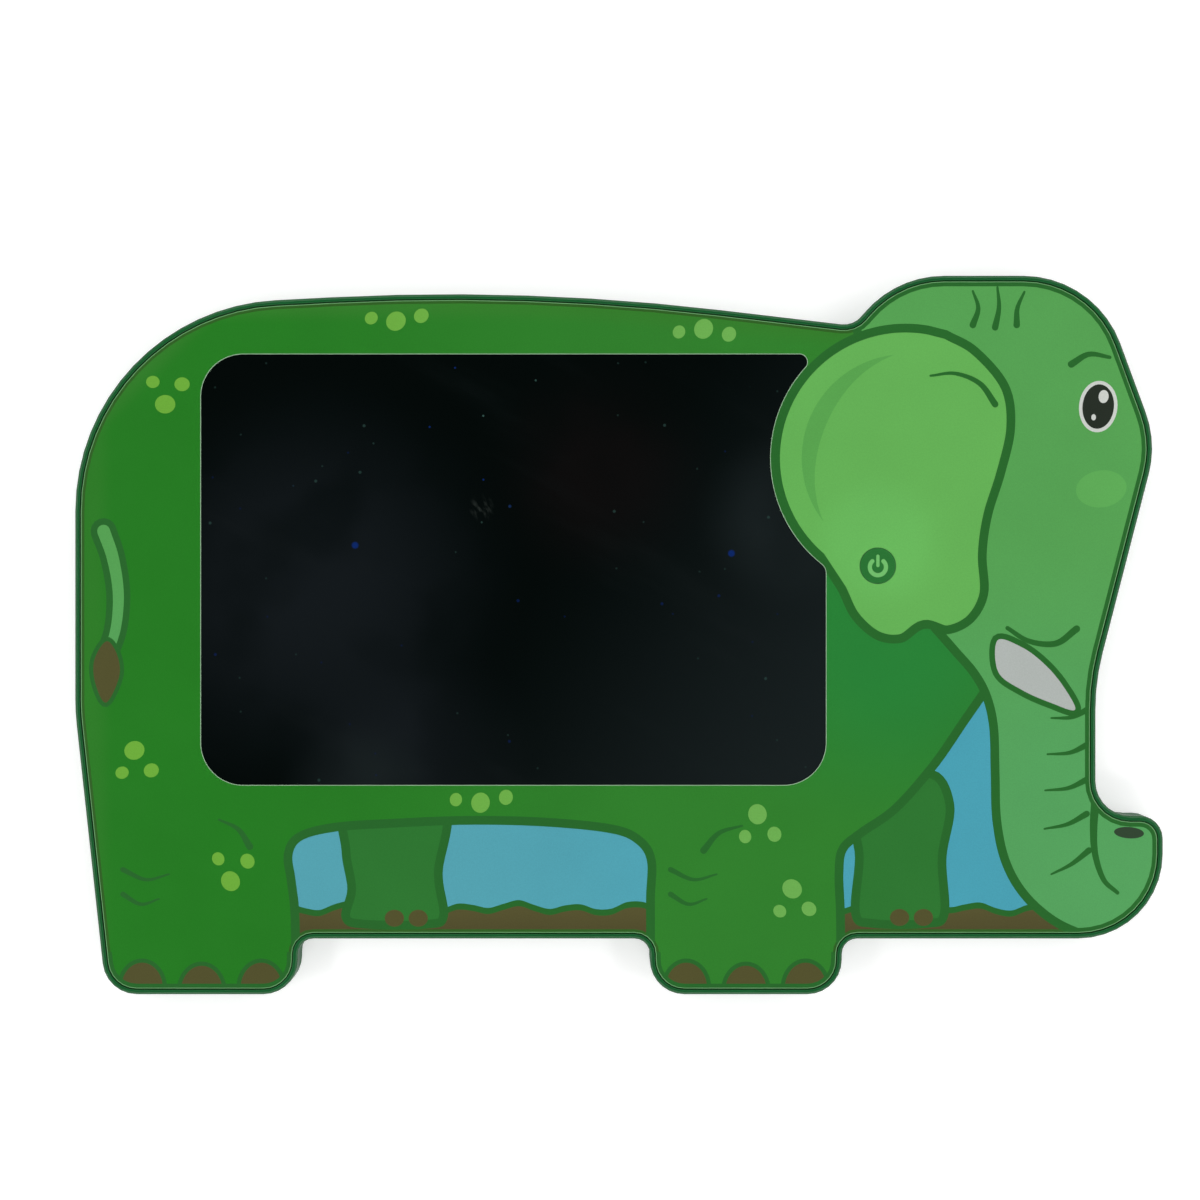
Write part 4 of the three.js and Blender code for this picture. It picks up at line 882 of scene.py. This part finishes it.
class TABLET_OT_face(bpy.types.Operator):
    """Makes the printed film that covers the face."""

    bl_idname = "tablet.make_face"
    bl_label = "Printed face"

    def execute(self, context):
        s = context.scene.tablet_face
        (edge, window, hole), top = flat_top("printed_face")
        button = button_place()
        shapes = leg_shapes(s) + near_leg_shapes(s) + marking_shapes(s) + head_shapes(s) + ear_shapes(s, button)
        cuts = {
            "film": edge,
            "window": window,
            "hole": grown(hole, -s.snug / MM),
            "print": grown(edge, -s.edge_highlight_width / MM),
            "inside the border": grown(edge, -(s.edge_highlight_width + s.border_width) / MM),
            "round the window": grown(window, s.cut_edge_width / MM),
            "inside the outline": grown(edge, -(s.edge_highlight_width + s.outline_width) / MM),
            "feet": [Vector(p) for p in ((-150, -82.4), (60, -82.4), (60, -96), (-150, -96))],
        }
        names = list(cuts)
        ring = (5.3, 5.7, 6.2, 6.6, 7.0, 7.4)  # the radii at which the raised ring is cut into faces
        raised = [oval(*button, r, r, count=64) for r in ring]
        points, triangles, holders = partition([*cuts.values(), *(outline for _, outline in shapes)], raised)
        kept, paints = [], []
        for corners, numbers in zip(triangles, holders):
            inside = {names[i] for i in numbers if i < len(names)}
            if "film" not in inside or "window" in inside or "hole" in inside:
                continue
            drawn = [i - len(names) for i in numbers if i >= len(names)]
            name = shapes[max(drawn)][0] if drawn else "body"
            # The film's cut edge by the rim is painted pale, a painted highlight on that edge.
            if "print" not in inside:
                name = "hairline"
            elif "inside the outline" not in inside and (name in ("head", "line") or "feet" in inside):
                name = "line"
            elif "inside the border" not in inside:
                name = "border"
            elif "round the window" in inside:
                name = "cut_edge"
            kept.append(list(corners))
            paints.append(FACE_INKS.index(name))

        def height(point):
            """The film's top, raised in a ring that falls steeply outwards and a little towards the button."""
            out = (point - button).length
            outer_slope = (ring[-1] - out) / 1.2
            inner_slope = max(0.3, (out - 4.6) / 0.9)
            rise = min(1, max(0, outer_slope), inner_slope)
            return top + s.emboss / MM * rise * rise * (3 - 2 * rise)

        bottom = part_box("printed_face")[0].z / MM
        mesh = film("face_print", points, kept, paints, height, bottom, 0.05)
        place("face_print", mesh, face_inks(s, button), "tablet", ["printed_face"])
        return {"FINISHED"}


# The shells


# The third finish is the gap's dark green, painted shade in the gap between the rim and the film.
SATIN, POLISHED, GAP_SHADE = range(3)  # the front shell's finishes, in the order of its materials


def rounded_rim(bm, s, side_top):
    """Gives the front shell's rim a finely rounded profile between its outer wall and its ledge."""
    top = max(v.co.z for v in bm.verts)
    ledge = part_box("printed_face")[0].z
    rim = [f for f in bm.faces if max(v.co.z for v in f.verts) > ledge + 2e-5]
    bmesh.ops.delete(bm, geom=rim, context="FACES")
    high = [loop for loop in open_loops(bm) if min(v.co.z for v in loop) > side_top - 1e-4]
    outer, inner = sorted(high, key=lambda loop: -abs(signed_area([v.co.xy for v in loop])))[:2]
    for loop in (outer, inner):
        if signed_area([v.co.xy for v in loop]) < 0:
            loop.reverse()
    if len(outer) != len(inner):
        raise RuntimeError(f"the rim's two edges have {len(outer)} and {len(inner)} points")
    start = min(range(len(inner)), key=lambda i: (inner[i].co - outer[0].co).length)
    inner = inner[start:] + inner[:start]
    width = (inner[0].co.xy - outer[0].co.xy).length
    fillet, bead = top - outer[0].co.z, s.inner_round
    profile = []
    for k in range(1, 9):
        angle = math.pi / 2 * k / 8
        profile.append((fillet * (1 - math.cos(angle)), outer[0].co.z + fillet * math.sin(angle)))
    for k in range(4):
        angle = math.pi / 2 * k / 3
        profile.append((width - bead + bead * math.sin(angle), top - bead + bead * math.cos(angle)))
    rings = [outer]
    for inset, z in profile:
        ring = []
        for a, b in zip(outer, inner):
            flat = a.co.xy.lerp(b.co.xy, inset / width)
            ring.append(bm.verts.new((flat.x, flat.y, z)))
        rings.append(ring)
    rings.append(inner)
    count = len(outer)
    for low, high in zip(rings, rings[1:]):
        for i in range(count):
            k = (i + 1) % count
            face = bm.faces.new([low[i], low[k], high[k], high[i]])
            # The last band, the rim's inner wall down to the ledge, gets the gap's dark green as painted shade.
            face.material_index = GAP_SHADE if high is inner else POLISHED
    # The ledge under the film's edge gets it too, as painted shade in the gap.
    for face in bm.faces:
        if all(abs(v.co.z - ledge) < 1e-5 for v in face.verts):
            face.material_index = GAP_SHADE


class TABLET_OT_shells(bpy.types.Operator):
    """Makes the two moulded shells from the packed ones, with a finely rounded rim."""

    bl_idname = "tablet.make_shells"
    bl_label = "Shells"

    def execute(self, context):
        s = context.scene.tablet_shells
        satin = moulded("shell_satin", s.plastic, 0.52, s.grain / MM, 0.002, 0.2)
        polished = moulded("rim_polished", s.rim, s.rim_gloss, s.grain / MM, 0.002, 0.3)
        # The gap's dark green is painted shade.
        gap_shade = moulded("rim_groove", s.gap_shade, 0.6, s.grain / MM, 0.004, 0.05)
        front = merged_copy("front_housing")
        fillet = 0.8 * MM
        rounded_rim(front, s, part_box("front_housing")[1].z - fillet)
        mesh = mesh_from(joined(front), "front_shell")
        place("front_shell", mesh, [satin, polished, gap_shade], "tablet", ["front_housing"])
        dressed("rear_shell", "rear_cover", satin, "tablet")
        return {"FINISHED"}


# Screen, button, screws, stylus and what lies inside


def paint(material, slot, *nodes):
    """Gives packed nodes that keep their shape a better material."""
    for node in nodes:
        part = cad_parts[node]
        if part.material_slots:
            part.material_slots[0].material = material
        else:
            part.data.materials.append(material)


class TABLET_OT_screen(bpy.types.Operator):
    """Finishes the writing sheet, its backing, the pad under it and its flexible tail."""

    bl_idname = "tablet.finish_screen"
    bl_label = "Writing screen"

    def execute(self, context):
        s = context.scene.tablet_screen
        paint(coated_screen("screen_coated", s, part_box("writing_sheet")), "screen_black", "writing_sheet")
        paint(moulded("backing_matt", (0.05, 0.05, 0.05), 0.7, 0.1, 0.004, 0.2), "backing_black", "black_backing_sheet")
        paint(moulded("pad_foam", (0.24, 0.24, 0.24), 0.9, 0.4, 0.03, 0.2), "pad_grey", "adhesive_pad")
        paint(moulded("flex_film", (0.6, 0.4, 0.13), 0.35, 0.5, 0.004), "flex_amber", "screen_flex_tail")
        return {"FINISHED"}


class TABLET_OT_button(bpy.types.Operator):
    """Makes the erase button with its printed power sign, and its plunger."""

    bl_idname = "tablet.make_button"
    bl_label = "Erase button"

    def execute(self, context):
        s = context.scene.tablet_button
        low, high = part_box("erase_button_cap")
        middle = button_place()
        radius = (high.x - low.x) / 2 / MM
        top, bevel, sign_drop = high.z / MM, 0.28, 0.35
        ring = arc(middle.x, middle.y - sign_drop, s.ring_radius / MM, 133, 407, 60)
        bar = [middle + Vector((0, y)) for y in (2.5, 1.6, 0.8, 0.05)]
        signs = [brush(ring, s.stroke / MM), brush(bar, s.stroke / MM * 0.76)]
        steps = [radius - bevel * (1 - math.sin(math.pi / 2 * k / 5)) for k in range(5)]
        disc, *circles = [oval(*middle, r, r, count=72) for r in (radius, *steps)]
        points, triangles, holders = partition([disc, *signs], circles)
        paints = [1 if max(inside) > 0 else 0 for inside in holders]

        def height(point):
            """The button's top, rounded at its edge."""
            out = min(radius, (point - middle).length) - (radius - bevel)
            return top - (bevel - math.sqrt(max(0, bevel**2 - max(0, out) ** 2)))

        mesh = film("button_top", points, [list(t) for t in triangles], paints, height, low.z / MM, 0)
        inks = [ink("button_ink", s.disc), ink("button_sign", s.sign)]
        place("button_top", mesh, inks, "erase_button", ["erase_button_cap"])
        finish = moulded("plunger_satin", (0.16, 0.32, 0.2), 0.4)
        dressed("button_plunger", "erase_button_plunger", finish, "erase_button")
        paint(moulded("stem_nylon", (0.12, 0.12, 0.12), 0.5), "chip_black", "switch_stem")
        return {"FINISHED"}


def screw_shape(name, length, head_height):
    """A cross-recess screw whose seat is at height 0 and whose head points down, in millimetres."""
    head_radius, head_round, shank, pitch = 1.9, 0.35, 0.95, 0.42
    core = shank - 0.16
    profile = [(0, -head_height)]
    for angle in (math.pi / 2 * k / 4 for k in range(5)):
        across = head_radius - head_round + head_round * math.sin(angle)
        profile.append((across, -head_height + head_round - head_round * math.cos(angle)))
    profile += [(head_radius, -0.05), (head_radius - 0.05, 0), (shank, 0)]
    for turn in range(int((length - shank) / pitch)):
        z = 0.2 + turn * pitch
        profile += [(core, z), (shank, z + 0.14), (shank, z + 0.2), (core, z + 0.34)]
    profile += [(core, length - shank), (0, length)]
    screw = link(name, lathe(name, profile, 40))
    blades = []
    for turn in (0, math.pi / 2):
        blade = bmesh.new()
        for v in bmesh.ops.create_cube(blade, size=1)["verts"]:
            long, wide, depth = (1.3, 0.34, 0.62) if v.co.z > 0 else (2.3, 0.56, -0.3)
            corner = Vector((v.co.x * long, v.co.y * wide, -head_height + depth))
            v.co = Matrix.Rotation(turn, 3, "Z") @ corner * MM
        blades.append(link(name + "_blade", mesh_from(blade, name + "_blade")))
        carve = screw.modifiers.new("recess", "BOOLEAN")
        carve.object, carve.operation, carve.solver = blades[-1], "DIFFERENCE", "EXACT"
    bpy.context.view_layer.update()
    made = bpy.data.meshes.new_from_object(screw.evaluated_get(bpy.context.evaluated_depsgraph_get()))
    screw.modifiers.clear()
    screw.data = made
    for blade in blades:
        bpy.data.objects.remove(blade)
    return screw


class TABLET_OT_screws(bpy.types.Operator):
    """Makes the screws of the shells, the board and the battery door on their seats."""

    bl_idname = "tablet.make_screws"
    bl_label = "Screws"

    def execute(self, context):
        s = context.scene.tablet_metal
        finish = metal("screw_steel", s.steel, 0.3, (6, 1, 1))
        tree = screw_tree()
        rows = [
            ("cover_screws", "cover_screw", "tablet", 1.2),
            ("board_screws", "board_screw", "tablet", 0.9),
            ("door_screw", "battery_door_screw", "battery_door", 1.2),
        ]
        for number, (name, stem, body, head) in enumerate(rows):
            nodes = [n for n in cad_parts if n.rsplit("_", 1)[0] == stem]
            boxes = [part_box(n) for n in nodes]
            seats = [((a.x + b.x) / 2 / MM, (a.y + b.y) / 2 / MM, a.z / MM + head) for a, b in boxes]
            length = (boxes[0][1].z - boxes[0][0].z) / MM - head
            shape = screw_shape(name + "_shape", length, head)
            mesh = grown_mesh(name, tree, seats, {"Screw": shape, "Finish": finish, "Seed": number})
            bpy.data.objects.remove(shape)
            place(name, mesh, [finish], body, nodes)
        return {"FINISHED"}


class TABLET_OT_battery(bpy.types.Operator):
    """Makes the battery door with its grip ribs, the coin cell and the contacts."""

    bl_idname = "tablet.make_battery"
    bl_label = "Battery and door"

    def execute(self, context):
        shell = context.scene.tablet_shells
        s = context.scene.tablet_metal
        satin = moulded("door_satin", shell.plastic, 0.52, shell.grain / MM, 0.002, 0.2)
        dressed("door_panel", "battery_door", satin, "battery_door")
        low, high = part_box("battery_door")
        start = (high.x / MM - 8.9, (low.y + high.y) / 2 / MM, low.z / MM)
        sizes = {"Count": 4, "Pitch": 1.4 * MM, "Length": 9.4 * MM, "Width": 0.62 * MM, "Height": 0.14 * MM}
        ribs = grown_mesh("door_ribs", rib_tree(), [start], {**sizes, "Finish": satin})
        place("door_ribs", ribs, [satin], "battery_door", [])

        low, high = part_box("coin_cell")
        centre = ((low.x + high.x) / 2 / MM, (low.y + high.y) / 2 / MM, 0)
        foot, top, radius = low.z / MM, high.z / MM, (high.x - low.x) / 2 / MM
        can = [(0, 0.06), (8.1, 0.06), (8.3, 0), (9.2, 0), (9.6, 0.08), (9.86, 0.3), (radius, 0.6)]
        seal = [(radius, 0.7), (9.9, 0.55), (9.6, 0.5), (9.3, 0.52), (9.2, 0.6), (9.0, 0.6)]
        cover = [(8.8, 0.5), (8.5, 0.08), (8.3, 0), (0, 0)]
        profile = [(r, foot + up) for r, up in can] + [(r, top - down) for r, down in seal + cover]
        cell = lathe("cell_body", profile, 96, at=centre)
        finish = metal("cell_steel", s.cell, 0.28, (1, 8, 1))
        place("cell_body", cell, [finish], "tablet", ["coin_cell"])
        contact = metal("contact_nickel", s.steel, 0.34, (1, 6, 1))
        paint(contact, "steel", "battery_contact_positive", "battery_contact_negative")
        wires = {"positive": ("wire_red", (0.62, 0.12, 0.1)), "negative": ("wire_black", (0.1, 0.1, 0.1))}
        for pole, (name, colour) in wires.items():
            paint(moulded(name, colour, 0.45, 0.4, 0.004), name, "battery_wire_" + pole)
        return {"FINISHED"}


class TABLET_OT_slider(bpy.types.Operator):
    """Makes the lock slider's knob and finishes the switch under it."""

    bl_idname = "tablet.make_slider"
    bl_label = "Lock slider"

    def execute(self, context):
        s = context.scene.tablet_stylus
        dressed("slide_knob", "lock_knob", moulded("knob_satin", s.nib, 0.45, 0.2), "lock_slider")
        steel = metal("switch_steel", context.scene.tablet_metal.steel, 0.35, (1, 5, 1))
        paint(steel, "steel", "lock_switch_lever", "lock_switch_body")
        return {"FINISHED"}


class TABLET_OT_board(bpy.types.Operator):
    """Finishes the circuit board and what is soldered on it."""

    bl_idname = "tablet.finish_board"
    bl_label = "Circuit board"

    def execute(self, context):
        epoxy = moulded("chip_epoxy", (0.09, 0.09, 0.09), 0.55, 0.15)
        ceramic = moulded("capacitor_ceramic", (0.66, 0.54, 0.38), 0.5, 0.3)
        paint(board_finish("board_resist", (0.11, 0.4, 0.24)), "board_green", "circuit_board")
        paint(epoxy, "chip_black", "controller_chip", "boost_coil", "switch_body")
        paint(ceramic, "ceramic", *[f"chip_capacitor_{number}" for number in (1, 2, 3)])
        paint(metal("dome_steel", context.scene.tablet_metal.steel, 0.25), "steel", "switch_dome")
        return {"FINISHED"}


class TABLET_OT_stylus(bpy.types.Operator):
    """Makes the stylus with its ringed barrel, its nib and its end plug."""

    bl_idname = "tablet.make_stylus"
    bl_label = "Stylus"

    def execute(self, context):
        s = context.scene.tablet_stylus
        low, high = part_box("stylus_barrel")
        radius, length = (high.z - low.z) / 2, high.x - low.x
        middle = (low + high) / 2
        axis = (0, middle.y / MM, middle.z / MM)
        green = moulded("barrel_satin", s.barrel, 0.34, 0.3, 0.0015)
        values = {
            "Radius": radius, "Length": length, "First": length / 2 - 32 * MM, "Pitch": s.ring_pitch,
            "Depth": s.ring_depth, "Rings": s.rings, "Finish": green,
        }
        barrel = grown_mesh("stylus_tube", barrel_tree(), [(0, 0, 0)], values)
        barrel.transform(Matrix.Translation(middle) @ Matrix.Rotation(math.pi / 2, 4, "Y"))
        place("stylus_tube", barrel, [green], "stylus", ["stylus_barrel"])

        grey = moulded("nib_satin", s.nib, 0.4, 0.25, 0.003)
        r = radius / MM
        start, end = high.x / MM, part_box("stylus_tip")[1].x / MM
        nib = [(0, start - 5), (1.4, start - 5), (1.5, start - 4.9), (1.5, start), (r - 0.12, start), (r, start + 0.15)]
        nib += [(r, start + 1.1), (r - 0.05, start + 1.5), (r - 0.22, start + 2.4)]
        nib += [(1.5, start + 7.2), (1.2, end - 3.4), (1.06, end - 3), (0.82, end - 2.7), (0.8, end - 1)]
        nib += [(0.8 * math.cos(a), end - 0.8 + 0.8 * math.sin(a)) for a in [math.pi / 2 * k / 6 for k in range(1, 6)]]
        nib.append((0, end))
        nib = lathe("stylus_nib", nib, 56, "X", axis)
        place("stylus_nib", nib, [grey], "stylus", ["stylus_tip"])

        start, end = low.x / MM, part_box("stylus_end_plug")[0].x / MM
        plug = [(0, end), (1.3, end), (1.9, end + 0.16), (2.26, end + 0.5), (2.44, end + 1), (r, end + 1.6)]
        plug += [(r, end + 3.2), (r - 0.2, end + 3.35), (r - 0.2, end + 3.75), (r, end + 3.9), (r, start - 0.15)]
        plug += [(r - 0.12, start), (1.5, start), (1.5, start + 4.9), (1.4, start + 5), (0, start + 5)]
        plug = lathe("stylus_cap", plug, 56, "X", axis)
        place("stylus_cap", plug, [grey], "stylus", ["stylus_end_plug"])
        return {"FINISHED"}


# Floor, light and camera


class TABLET_OT_stage(bpy.types.Operator):
    """Makes the pale floor, the soft light and the camera that looks straight down."""

    bl_idname = "tablet.make_stage"
    bl_label = "Stage"

    def execute(self, context):
        s = context.scene.tablet_stage
        scene = context.scene
        scene.view_settings.view_transform = "Standard"
        self.make_floor()
        self.make_sky(scene, s)
        for turn in range(4):
            self.make_lamp(turn, s)
        side, tablet_x, tablet_y = 1200, 619, 635  # the photograph, and the middle of the tablet in it, in pixels
        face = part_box("printed_face")[1].z
        lens = bpy.data.cameras.new("camera")
        lens.lens = lens.sensor_width * s.height / (side * s.pixel)
        lens.clip_start, lens.clip_end = 0.01, 20
        camera = link("camera", lens)
        camera.location = ((side / 2 - tablet_x) * s.pixel, (tablet_y - side / 2) * s.pixel, face + s.height)
        scene.camera = camera
        return {"FINISHED"}

    def make_floor(self):
        """A pale floor that looks white and keeps a soft shadow."""
        bm = bmesh.new()
        bmesh.ops.create_grid(bm, x_segments=8, y_segments=8, size=3)
        bmesh.ops.translate(bm, verts=bm.verts, vec=(0, 0, -0.0003))
        floor = link("floor", mesh_from(bm, "floor"))
        material = bpy.data.materials.new("floor_pale")
        tree = blank_tree(material)
        rays = add(tree, "ShaderNodeLightPath").outputs
        seen = calc(tree, "MAXIMUM", rays["Is Camera Ray"], rays["Is Glossy Ray"])
        close = calc(tree, "MULTIPLY", calc(tree, "MAXIMUM", seen, rays["Is Transmission Ray"]), 0.4)
        where = add(tree, "ShaderNodeTexCoord").outputs["Object"]
        far = remapped(tree, round_point(tree, where, (0, 0, 0), 450, 850), 0, 1, 1, 0, "LINEAR")
        level = calc(tree, "MAXIMUM", close, calc(tree, "MULTIPLY", rays["Is Camera Ray"], far))
        paper = add(tree, "ShaderNodeBsdfDiffuse", {"Color": (0.82, 0.82, 0.82, 1)})
        glow = add(tree, "ShaderNodeEmission", {"Color": (1, 1, 1, 1), "Strength": level})
        both = add(tree, "ShaderNodeAddShader", {0: paper.outputs[0], 1: glow.outputs[0]})
        add(tree, "ShaderNodeOutputMaterial", {"Surface": both.outputs[0]})
        floor.data.materials.append(material)

    def make_sky(self, scene, s):
        """Even light from all round, seen as plain white, and dim straight above for what mirrors it."""
        scene.world = bpy.data.worlds.new("studio")
        tree = blank_tree(scene.world)
        rays = add(tree, "ShaderNodeLightPath").outputs
        up = add(tree, "ShaderNodeSeparateXYZ", {0: add(tree, "ShaderNodeTexCoord").outputs["Generated"]}).outputs["Z"]
        strengths = (s.sky_light, 1.0, remapped(tree, up, 0.62, 0.94, 1.0, 0.04))
        soft, white, mirrored = [
            add(tree, "ShaderNodeBackground", {"Color": (1, 1, 1, 1), "Strength": strength}).outputs[0]
            for strength in strengths
        ]
        seen = calc(tree, "MAXIMUM", rays["Is Camera Ray"], rays["Is Transmission Ray"])
        direct = add(tree, "ShaderNodeMixShader", {0: seen, 1: soft, 2: white}).outputs[0]
        light = add(tree, "ShaderNodeMixShader", {0: rays["Is Glossy Ray"], 1: direct, 2: mirrored}).outputs[0]
        add(tree, "ShaderNodeOutputWorld", {"Surface": light})

    def make_lamp(self, turn, s):
        """One of four long strip lamps round the tablet."""
        lamp = bpy.data.lights.new(f"strip_lamp_{turn + 1}", "AREA")
        lamp.shape, lamp.size, lamp.size_y = "RECTANGLE", 0.95, 0.16
        lamp.energy = s.lamp_power
        holder = link(lamp.name, lamp)
        angle, away, up = math.pi / 2 * turn, 0.62, 0.6
        spot = Vector((math.sin(angle) * away, -math.cos(angle) * away, up))
        holder.location = spot
        holder.rotation_euler = (-spot).to_track_quat("-Z", "Y").to_euler()


# The add-on


class VIEW3D_PT_tablet(bpy.types.Panel):
    """Lists the makers of the tablet's pieces."""

    bl_label = "Drawing tablet"
    bl_idname = "VIEW3D_PT_tablet"
    bl_space_type = "VIEW_3D"
    bl_region_type = "UI"
    bl_category = "Tablet"

    def draw(self, context):
        """Shows each group of sizes and colours, and a button for each maker."""
        for kind, group_name in NAMES.items():
            box = self.layout.box()
            box.label(text=kind.__doc__)
            group = getattr(context.scene, group_name)
            for name in kind.__annotations__:
                box.prop(group, name)
        for maker in MAKERS:
            self.layout.operator(maker.bl_idname)


MAKERS = (
    TABLET_OT_stage,
    TABLET_OT_shells,
    TABLET_OT_face,
    TABLET_OT_screen,
    TABLET_OT_button,
    TABLET_OT_screws,
    TABLET_OT_board,
    TABLET_OT_battery,
    TABLET_OT_slider,
    TABLET_OT_stylus,
)
NAMES = {
    FaceSettings: "tablet_face",
    ShellSettings: "tablet_shells",
    ScreenSettings: "tablet_screen",
    ButtonSettings: "tablet_button",
    MetalSettings: "tablet_metal",
    StylusSettings: "tablet_stylus",
    StageSettings: "tablet_stage",
}


def register():
    """Makes the settings, the makers and the panel known to Blender."""
    for kind in (*NAMES, *MAKERS, VIEW3D_PT_tablet):
        bpy.utils.register_class(kind)
    for kind, name in NAMES.items():
        setattr(bpy.types.Scene, name, PointerProperty(type=kind))


def unregister():
    """Takes away what register has made known."""
    for name in NAMES.values():
        delattr(bpy.types.Scene, name)
    for kind in reversed((*NAMES, *MAKERS, VIEW3D_PT_tablet)):
        bpy.utils.unregister_class(kind)


def main():
    """Makes every piece and the stage."""
    register()
    bpy.ops.tablet.make_stage()
    bpy.ops.tablet.make_shells()
    bpy.ops.tablet.make_face()
    bpy.ops.tablet.finish_screen()
    bpy.ops.tablet.make_button()
    bpy.ops.tablet.make_screws()
    bpy.ops.tablet.finish_board()
    bpy.ops.tablet.make_battery()
    bpy.ops.tablet.make_slider()
    bpy.ops.tablet.make_stylus()


if __name__ == "__main__":
    main()
